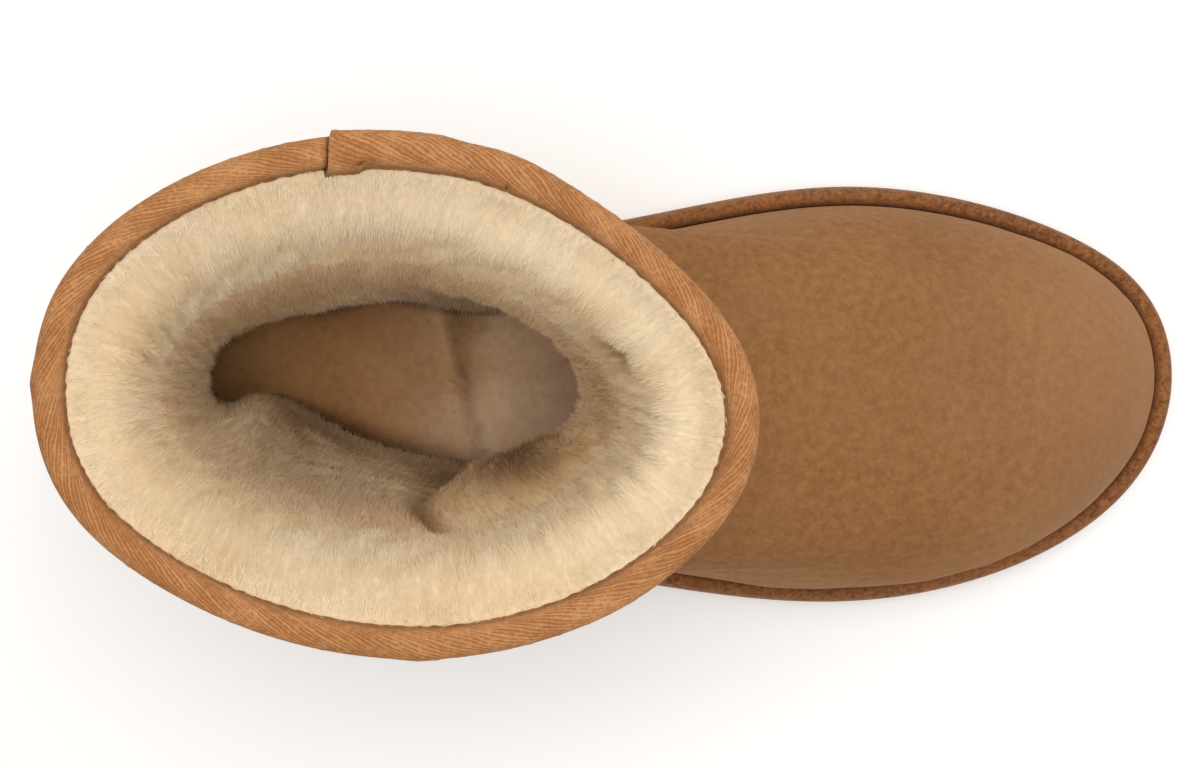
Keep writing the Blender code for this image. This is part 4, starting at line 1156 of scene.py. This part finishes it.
def on_wall(line, side):
    """Turn and level where a side-view line lies on one side of the boot."""
    x, z = line[:, 0], line[:, 1]
    share = np.clip((x + HALF_SOLE_LENGTH) / SOLE_LENGTH, 0.02, 0.98)
    turn = side * np.arccos(1 - 2 * share)
    level = np.clip((z - 0.02) / (BOOT_HEIGHT - 0.02), 0.02, 0.98) * LOFT_HEIGHT
    return settle(np.column_stack([x, 0 * x, z]), turn, level, axes=(1, 0, 1))


def even_path(turn, level, step):
    """The same path with its places a step apart, read along its length."""
    run = run_along(hide(turn, level))
    places = np.linspace(0, run[-1], max(int(run[-1] / step), 4) + 1)
    return np.interp(places, run, turn), np.interp(places, run, level), places


def path_frame(turn, level):
    """Points of a path on the hide, with its way out and across."""
    points = hide(turn, level)
    along = unit(np.gradient(points, axis=0))
    out = wall_direction(turn, level)
    out = unit(out - along * np.sum(out * along, -1, keepdims=True))
    return points, out, np.cross(along, out)


def sew(name, arcs, radius):
    """Stitches as round strands of six sides along lines of points, each closed by
    a point at both ends."""
    paths = np.concatenate(arcs)
    strands, rows, sides = *paths.shape[:2], 6
    along = unit(np.gradient(paths, axis=1))
    spare = np.zeros_like(along)
    spare[..., 2] = 1.0
    spare[np.abs(along[..., 2]) > 0.9] = (1.0, 0.0, 0.0)
    first = unit(np.cross(along, spare))
    second = np.cross(along, first)
    angle = round_turns(sides)[0][:, None]
    girth = np.ones(rows)
    girth[[0, -1]] = 0.02
    spin = np.cos(angle) * first[:, :, None, :] + np.sin(angle) * second[:, :, None, :]
    rings = paths[:, :, None, :] + spin * (radius * girth)[None, :, None, None]
    one = grid_faces(rows, sides, wrap_rows=False)
    faces = np.concatenate([one + i * rows * sides for i in range(strands)])
    add_piece(name, rings, faces, THREAD, "tape", weld=True)


def stitch_arcs(start, end, out, rise):
    """Stitches as arcs: straight from start to end, raised by a sine."""
    share = np.linspace(0, 1, 7)[None, :, None]
    bow = np.sin(math.pi * share) * rise
    return start[:, None] * (1 - share) + end[:, None] * share + out[:, None] * bow


def make_ridge(seam, turn, level):
    """A butted seam along a path on the hide: two rolled hide edges side by side
    with a groove between them, together a rounded cosine across, and pinched where
    the zigzag thread pulls."""
    turn, level, run = even_path(turn, level, SEAM_STEP)
    points, out, across = path_frame(turn, level)
    pinch = 0.5 + 0.5 * np.cos(FULL_TURN * run / ZIGZAG_PITCH)
    ends = eased(0, 0.002, run) * eased(0, 0.002, run[-1] - run)
    shares = np.linspace(-1, 1, 19)
    height = np.cos(shares * math.pi / 2) ** 0.55 * (1 - 0.42 * bell(shares, 0.13))
    pulled = 1 - 0.16 * pinch[:, None] * (1 - np.abs(shares)) ** 0.5
    lift = SEAM_HEIGHT * height[None, :] * pulled * ends[:, None]
    wide = (SEAM_WIDTH / 2 * (1 - 0.10 * pinch))[:, None]
    top = points[:, None] + across[:, None] * (wide * shares)[..., None]
    top = top + out[:, None] * (GAP / 3 + lift)[..., None]
    floor = points[:, None] + across[:, None] * (wide * shares[::-1])[..., None]
    rows = np.concatenate([top, floor + out[:, None] * GAP / 4], axis=1)
    count, around = rows.shape[:2]
    lower = np.arange(len(shares) - 1)
    mirror = around - 1 - lower
    cap = np.stack([lower, lower + 1, mirror - 1, mirror], -1)
    caps = [cap, cap[:, ::-1] + (count - 1) * around]
    faces = np.concatenate([grid_faces(count, around, wrap_rows=False)] + caps)
    add_piece(seam + "_ridge", rows, faces, SUEDE, "suede", [seam], weld=True)
    there = np.searchsorted(run, np.arange(ZIGZAG_PITCH, run[-1] - ZIGZAG_PITCH, ZIGZAG_PITCH))
    back = np.minimum(there + round(ZIGZAG_PITCH / 2 / SEAM_STEP), len(run) - 1)
    again = np.minimum(there + 4, len(run) - 1)
    left = points - across * SEAM_WIDTH * 0.46 + out * 0.0004
    right = points + across * SEAM_WIDTH * 0.46 + out * 0.0004
    over = stitch_arcs(left[there], right[back], out[there], SEAM_HEIGHT * 0.86)
    under = stitch_arcs(right[back], left[again], out[back], SEAM_HEIGHT * 0.80)
    sew(seam + "_ridge_thread", [over, under], THREAD_RADIUS)


def levels_under(line, turn, top):
    """Level at each turn where the wall climbs through a side-view line that
    rises with x, found by halving."""
    line = line[np.argsort(line[:, 0])]
    low, high = np.full_like(turn, LIP_LEVEL), np.full_like(turn, top)
    for _ in range(40):
        middle = (low + high) / 2
        points = loft(turn, middle)
        beneath = points[:, 2] < np.interp(points[:, 0], line[:, 0], line[:, 1])
        low, high = np.where(beneath, middle, low), np.where(beneath, high, middle)
    return low


def make_vamp_seam():
    """The seam over the instep, from one side seam to the other."""
    line = vamp_seam_line()
    ends = [on_wall(line[:1], side)[0][0] for side in (1, -1)]
    turn = np.linspace(ends[0], FULL_TURN + ends[1], 400)
    make_ridge("vamp_seam", turn, levels_under(line, turn, 0.8 * LOFT_HEIGHT))


def make_counter():
    """The heel counter: a second layer of hide with a rounded cut edge, which
    thins to nothing over its last millimetre, and two sewn channels along it."""
    heel, front = -HALF_SOLE_LENGTH, -HALF_SOLE_LENGTH + COUNTER_REACH
    bends = [(heel + share * COUNTER_REACH, high * COUNTER_HEIGHT) for share, high in COUNTER_EDGE]
    outline = side_line((front, lip_top(front) + GAP), *bends)
    last = math.acos(1 - 2 * (COUNTER_REACH - 0.0005) / SOLE_LENGTH)
    turns = last * np.sin(np.linspace(-math.pi / 2, math.pi / 2, COUNTER_TURNS))
    edge = levels_under(outline, turns, 0.7 * LOFT_HEIGHT)
    keep = edge > LIP_LEVEL + 0.0004
    turns, edge = turns[keep], edge[keep]
    edge_points = hide(turns, edge, COUNTER_THICKNESS)
    shares = 1 - (1 - np.linspace(0, 1, COUNTER_ROWS)) ** 1.5
    foot = LIP_LEVEL + 0.0002
    levels = foot + (edge - foot)[None, :] * shares[:, None]
    turn_grid = np.broadcast_to(turns, levels.shape)
    surface = hide(turn_grid, levels, COUNTER_THICKNESS)
    apart = np.linalg.norm(surface[:, :, None] - edge_points[::2], axis=-1).min(axis=2)
    apart[-1] = 0.0
    rounded = np.sqrt(np.clip(1 - (1 - np.clip(apart / 0.0013, 0, 1)) ** 2, 0, 1))
    channel = sum(bell(apart - distance, 0.0007) for distance in CHANNEL_ROWS)
    lift = GAP + COUNTER_THICKNESS * (0.25 + 0.75 * rounded) - CHANNEL_DEPTH * channel
    top, under = hide(turn_grid, levels, lift), hide(turn_grid, levels, GAP)
    rows, columns = levels.shape
    size = rows * columns
    face_top = grid_faces(rows, columns, False, False)
    border = np.concatenate([
        np.arange(columns),
        np.arange(1, rows) * columns + columns - 1,
        (rows - 1) * columns + np.arange(columns - 2, -1, -1),
        np.arange(rows - 2, 0, -1) * columns,
    ])
    after = np.roll(border, -1)
    walls = np.stack([border, after, after + size, border + size], -1)
    faces = np.concatenate([face_top, face_top[:, ::-1] + size, walls])
    finish = (COUNTER_SUEDE, "suede", ["heel_counter"])
    add_piece("heel_counter_layer", np.stack([top, under]), faces, *finish, weld=True)
    inward = unit(np.cross(wall_direction(turns, edge), np.gradient(edge_points, axis=0)))
    if inward[len(turns) // 2, 2] > 0:
        inward = -inward
    arcs = []
    for distance in CHANNEL_ROWS:
        turn, level = settle(edge_points + inward * distance, turns, edge - distance * 0.5)
        good = level > LIP_LEVEL + 0.0035
        turn, level, run = even_path(turn[good], level[good], 0.0004)
        line, out, _ = path_frame(turn, level)
        line = line + out * (COUNTER_THICKNESS - 0.00005)
        starts = np.arange(0.0006, run[-1] - 0.003, CHANNEL_PITCH)
        first = np.searchsorted(run, starts)
        second = np.minimum(np.searchsorted(run, starts + CHANNEL_STITCH), len(run) - 1)
        arcs.append(stitch_arcs(line[first], line[second], out[first], 0.00032))
    sew("heel_counter_stitches", arcs, 0.00026)


def sole_section():
    """The sole's side as a smooth line: the listed corners rounded by a
    three-point mean, read at even steps of their length."""
    corners = np.array(SOLE_SIDE)
    run = run_along(corners * np.array([HEEL_THICKNESS, LIP_WIDTH]))
    places = np.linspace(0, run[-1], SOLE_ROWS)
    line = np.stack([np.interp(places, run, corners[:, i]) for i in (0, 1)], -1)
    for _ in range(2):
        line[1:-1] = (line[:-2] + line[1:-1] + line[2:]) / 3
    return line


def tread_lines():
    """Places of the tread's grooves along the sole: the heel's and the ball's."""
    reaches = ((-0.875, -0.46), (0.10, 0.86))
    lines = [np.arange(a * HALF_SOLE_LENGTH, b * HALF_SOLE_LENGTH, GROOVE_PITCH) for a, b in reaches]
    return np.concatenate(lines)


def sole_turns():
    """Turns of the sole's columns on one side: even ones, and close pairs where a
    groove's walls stand."""
    walls = np.array([-1, -0.86, -GROOVE_FLOOR, GROOVE_FLOOR, 0.86, 1]) * GROOVE_WIDTH / 2
    grooves = (tread_lines()[:, None] + walls).ravel()
    inset = 1 - SOLE_SIDE[0][1] * LIP_WIDTH / HALF_SOLE_LENGTH
    edges = np.arccos(-np.clip(grooves / (HALF_SOLE_LENGTH * inset), -0.999, 0.999))
    return np.sort(np.concatenate([np.linspace(0, math.pi, SOLE_TURNS), edges]))


def margin_edge(side):
    """The tread's margin on one side, as x and y to read between."""
    return inset_outline(side * np.linspace(0, math.pi, 240), TREAD_MARGIN).T


def sole_underside(medial, lateral):
    """The tread, as a grid across the sole from its lateral side to its medial one.
    Its columns lie close between the margins, and its lines follow the zigzag of
    the grooves, which are eased at their walls and fade out at the margins."""
    edges = [np.linspace(0, 1, 6)[:-1], 1 + np.linspace(0, 1, 73), 2 + np.linspace(0, 1, 6)[1:]]
    shares = np.concatenate(edges)
    middle_x = (medial[:, 0] + lateral[:, 0]) / 2
    y_low, y_high = lateral[:, 1], medial[:, 1]
    inner_low = np.maximum(np.interp(middle_x, *margin_edge(-1)), y_low)
    inner_high = np.minimum(np.interp(middle_x, *margin_edge(1)), y_high)
    middle_y = (inner_low + inner_high) / 2
    inner_low, inner_high = np.minimum(inner_low, middle_y), np.maximum(inner_high, middle_y)
    stops = np.array([y_low, inner_low, inner_high, y_high])
    before = np.clip(shares.astype(int), 0, 2)
    y = (stops[before] + (stops[before + 1] - stops[before]) * (shares - before)[:, None]).T
    over = (y - y_low[:, None]) / np.maximum(y_high - y_low, 1e-9)[:, None]
    line_x = lateral[:, 0][:, None] * (1 - over) + medial[:, 0][:, None] * over
    swings = GROOVE_SWING * (np.arange(GROOVE_BENDS) % 2 - 0.5)
    within = np.clip(shares - 1, 0, 1)[None, :]
    bends = np.interp(within, np.linspace(0, 1, GROOVE_BENDS), swings)
    fade = 1 - eased(0.88, 0.95, np.abs(middle_x) / HALF_SOLE_LENGTH)[:, None]
    x = line_x + bends * fade * np.clip(np.minimum(shares, 3 - shares), 0, 1)[None, :]
    half = GROOVE_WIDTH / 2
    walls = [1 - eased(GROOVE_FLOOR * half, half, np.abs(line_x - at)) for at in tread_lines()]
    soften = np.interp(shares, [1, 1.02, 1.98, 2], [0, 1, 1, 0])
    return np.stack([x, y, ground_at(x) + GROOVE_DEPTH * np.max(walls, axis=0) * soften], -1)


def make_outsole():
    """The moulded sole unit. Its side is the outline moved in by the section, its
    upper face closes straight across, and its underside is the tread."""
    half = sole_turns()
    count = len(half)
    turn = np.concatenate([half, -half[-2:0:-1]])
    columns = len(turn)
    rings = []
    for share, inset in sole_section():
        plan = inset_outline(turn, inset * LIP_WIDTH)
        low, high = ground_at(plan[:, 0]), footbed_at(plan[:, 0]) + LIP_HEIGHT
        rings.append(np.column_stack([plan, low + (high - low) * share]))
    bed = inset_outline(turn, LIP_WIDTH)
    rings += [np.column_stack([bed, footbed_at(bed[:, 0]) + rise]) for rise in (0.00075, 0.0)]
    rings = np.array(rings)
    medial = np.arange(count)
    lateral = (columns - medial) % columns
    tread = sole_underside(rings[0][medial], rings[0][lateral])
    shares = np.linspace(0, 1, 9)[None, :, None]
    lid = rings[-1][lateral][:, None] * (1 - shares) + rings[-1][medial][:, None] * shares
    lid[..., 2] = footbed_at(lid[..., 0])
    grids = [part.reshape(-1, 3) for part in (rings, tread, lid)]
    lid_start = len(grids[0]) + len(grids[1])
    faces = [
        grid_faces(len(rings), columns, wrap_rows=False),
        grid_faces(*tread.shape[:2], False, False, start=len(grids[0])),
        grid_faces(*lid.shape[:2], False, False, start=lid_start)[:, ::-1],
    ]
    every = np.concatenate(grids) + SIDE_SHIFT
    made = add_piece("foam_outsole", every, np.concatenate(faces), FOAM, "foam", ["outsole"])
    inwards = np.linspace(0, 1, SOLE_ROWS)
    # Painted shade darkens the lip's top where it meets the upper, a narrow painted highlight lies
    # where the side rounds onto the lip, and the footbed's two hidden rings take deep painted shade.
    across = 1 - 0.75 * eased(0.93, 1.0, inwards) + 0.10 * bell(inwards - 0.83, 0.04)
    shade = np.ones(len(every))
    shade[: rings.shape[0] * columns] = np.repeat(np.append(across, [0.1, 0.1]), columns)
    add_values(made, "pale", np.clip(shade, 0, 1.1))
    merge_doubles(made)


def make_insole():
    """The insole: a soft cushion whose edge follows the pile's foot, in rings that
    shrink towards its spine, under it, up its side and over its top. Its surface
    waves softly, and a low ridge crosses it."""
    turns, foot = round_turns(INSOLE_TURNS), np.array([[0.0]])
    edge = off_loft(turns, foot, -(HIDE_THICKNESS + 3 * GAP + pile_depth(turns, foot)))[0]
    spine = np.column_stack([edge[:, 0] * 0.90, np.full(len(edge), edge[:, 1].mean())])
    inwards = np.linspace(0.06, 0.985, INSOLE_ROWS)
    rings = [(1 - s, 0.0, 0.0) for s in np.linspace(0, 1, 12)[1:]]
    rings += [(0.0, 0.45, 0.0), (0.008, 0.75, 0.0), (0.03, 0.93, 0.3)]
    edge_rings = len(rings)
    rows = []
    for share, rise, swollen in rings + [(s, 1.0, 1.0) for s in inwards]:
        plan = edge[:, :2] * (1 - share) + spine * share
        height = footbed_at(plan[:, 0]) + (GAP + rise * INSOLE_THICKNESS)
        rows.append(np.column_stack([plan, height + swollen * insole_swell(plan)]))
    rows = np.array(rows)
    faces = grid_faces(*rows.shape[:2], wrap_rows=False)
    made = add_piece("felt_insole", rows, faces, FELT, "felt", ["insole"])
    inside = np.concatenate([np.zeros(edge_rings), inwards])[:, None]
    for name, values in zip(("pale", "pink"), insole_tones(rows, inside)):
        add_values(made, name, values)
    close_spine(made, *rows.shape[:2])
    make_nap(rows[edge_rings:], inwards)


def make_nap(top, inwards, count=26000):
    """Short loose fibres lying all ways on the insole where the collar shows it."""
    dice = np.random.default_rng(71)
    shown = 1 - eased(-0.010, 0.010, top[:-1, :, 0])
    root, normal, _, row, _ = lay_on_grid(top[::-1], count, dice, shown[::-1])
    normal[normal[:, 2] < 0] *= -1
    way = dice.uniform(0, FULL_TURN, count)
    flat = np.column_stack([np.cos(way), np.sin(way), dice.uniform(0.10, 0.55, count)])
    length = dice.uniform(0.0012, 0.0026, count)
    share = np.interp(len(top) - 1 - row, np.arange(len(top)), inwards)
    # The nap takes the insole's painted shade, shadow and highlight.
    pale, pink = insole_tones(root, share)
    pale = pale + 0.03 * dice.normal(size=count)
    size = length, dice.uniform(0.00018, 0.00036, count)
    made = make_blades("felt_nap", (root, normal), flat, size, pale, FELT, "felt", dice)
    add_values(made, "pink", np.repeat(pink, 3))


def close_spine(made, rows, columns):
    """Closes the two slits along the insole's spine, above and below, with faces
    between the places that face each other across it."""
    work = bmesh.new()
    work.from_mesh(made.data)
    work.verts.ensure_lookup_table()
    for base, order in ((0, 1), ((rows - 1) * columns, -1)):
        for c in range(columns // 2):
            ring = (c, c + 1, (columns - c - 1) % columns, (columns - c) % columns)
            kept = [work.verts[base + i] for i in dict.fromkeys(ring)][::order]
            work.faces.new(kept).smooth = True
    bmesh.ops.recalc_face_normals(work, faces=work.faces)
    if work.calc_volume(signed=True) < 0:
        bmesh.ops.reverse_faces(work, faces=work.faces)
    work.to_mesh(made.data)
    work.free()


def ridge_away(points):
    """How far in front of the ridge each place lies. The ridge leans forwards
    towards the little-toe side."""
    return points[..., 0] - RIDGE_X + RIDGE_LEAN * points[..., 1]


def insole_swell(plan):
    """Height of the insole's surface over its flat: soft hollows from wear, and a
    ridge with a crease in front of it where the seat ends."""
    x, y, away = plan[..., 0], plan[..., 1], ridge_away(plan)
    waves = 0.0005 * np.sin(x * 105 + 2 * y * 60) + 0.0004 * np.sin(x * 210 - y * 150 + 1.3)
    bumps = 0.00035 * np.sin(y * 900 + 2 * np.sin(y * 410)) * bell(away, 0.003)
    ridge = 0.0010 * bell(away + 0.0030, 0.0022)
    crease = -0.0009 * bell(away - 0.0004, 0.0014)
    return waves + ridge + crease + bumps


def insole_tones(points, share):
    """Paleness and pinkness over the insole: painted shade in the heel's end and in
    the crease, a soft strip of painted shadow along its edge, broad on the
    little-toe side by the heel, a dark spot by the arch's wall, and a painted
    highlight on the ridge; worn brown in the seat and pinker in front of the crease."""
    x, y, away = points[..., 0], points[..., 1], ridge_away(points)
    # Painted shade in the heel's end, and painted shadow in a strip along the edge, broader on the
    # little-toe side by the heel.
    heel = 0.19 * (1 - eased(-0.116, -0.084, x)) + 0.09 * (1 - eased(-0.060, -0.044, x))
    patch = 0.24 * np.exp(-(((x + 0.0440) / 0.0052) ** 2) - ((y - 0.0170) / 0.0034) ** 2)
    outer = eased(0.004, -0.012, y)
    heel_edge_shade = outer * bell(x + 0.082, 0.016)
    width = 0.10 + 0.07 * outer + 0.22 * heel_edge_shade
    edge_shadow = (0.36 + 0.16 * outer + 0.22 * heel_edge_shade) * bell(share, width)
    # Painted shade in the crease, and a painted highlight on the ridge.
    crease = (0.16 + 0.20 * eased(-0.004, 0.006, y)) * bell(away - 0.0006, 0.0019)
    ridge = 0.10 * bell(away + 0.0036, 0.0018)
    pale = 0.86 + 0.06 * eased(-0.050, -0.040, x) - heel - edge_shadow - crease - patch + ridge
    pink = 0.10 + 0.25 * eased(-0.075, -0.052, x) + 0.60 * eased(-0.048, -0.038, x)
    pink = pink + 0.30 * eased(-0.064, -0.050, x) * eased(0.006, -0.008, y) - 0.5 * patch
    return np.clip(pale, 0, 1), np.clip(pink, 0, 1)


def make_stage():
    """A wide pale floor under the boot, two soft lamps above and a pale sky."""
    mesh = bpy.data.meshes.new("studio_floor")
    corners = np.array([(-1, -1, 0), (1, -1, 0), (1, 1, 0), (-1, 1, 0)]) * FLOOR_REACH
    mesh.from_pydata((corners - (0, 0, FLOOR_DROP)).tolist(), [], [(0, 1, 2, 3)])
    floor = show("studio_floor", mesh)
    glow = {"Emission_Color": "#ffffff", "Emission_Strength": 0.22}
    look = {"Base_Color": "#f7f6f4", "Roughness": 0.9, "Specular_IOR_Level": 0.1}
    mesh.materials.append(new_finish("pale_floor", **look, **glow)[0])
    world = bpy.data.worlds.new("studio_sky")
    world.use_nodes = True
    set_node(world.node_tree.nodes["Background"], Color="#fbfaf8", Strength=0.36)
    bpy.context.scene.world = world
    for name, place, size, power in LAMPS:
        lamp = bpy.data.lights.new(name, "AREA")
        lamp.shape = "DISK"
        lamp.size = size
        lamp.energy = power
        holder = show(name, lamp)
        holder.location = place
        holder.rotation_euler = aim_at(np.array(LAMP_AIM) - np.array(place))


def aim_at(way):
    """Euler angles that turn a lamp's −Z to a direction."""
    flat = math.hypot(way[0], way[1])
    return (math.atan2(flat, -way[2]), 0.0, math.atan2(way[1], way[0]) - math.pi / 2)


def make_camera():
    """The photograph's view: straight down from 0.8 m, just in front of the collar,
    leaning by less than a degree to the little-toe side."""
    lens = bpy.data.cameras.new("camera")
    lens.sensor_width = SENSOR_MM
    lens.lens = LENS_MM
    lens.clip_start = 0.05
    made = show("camera", lens)
    made.location = np.array(CAMERA_PLACE) + SIDE_SHIFT
    made.rotation_euler = (CAMERA_LEAN, 0.0, 0.0)
    bpy.context.scene.camera = made


make_camera()
make_upper()
make_lining()
make_pile()
make_rim()
make_tape()
for side, label in ((1, "medial"), (-1, "lateral")):
    make_ridge("side_seam_" + label, *on_wall(side_seam_line(), side))
make_vamp_seam()
make_counter()
make_outsole()
make_insole()
make_stage()
bpy.context.scene.view_settings.view_transform = "Standard"
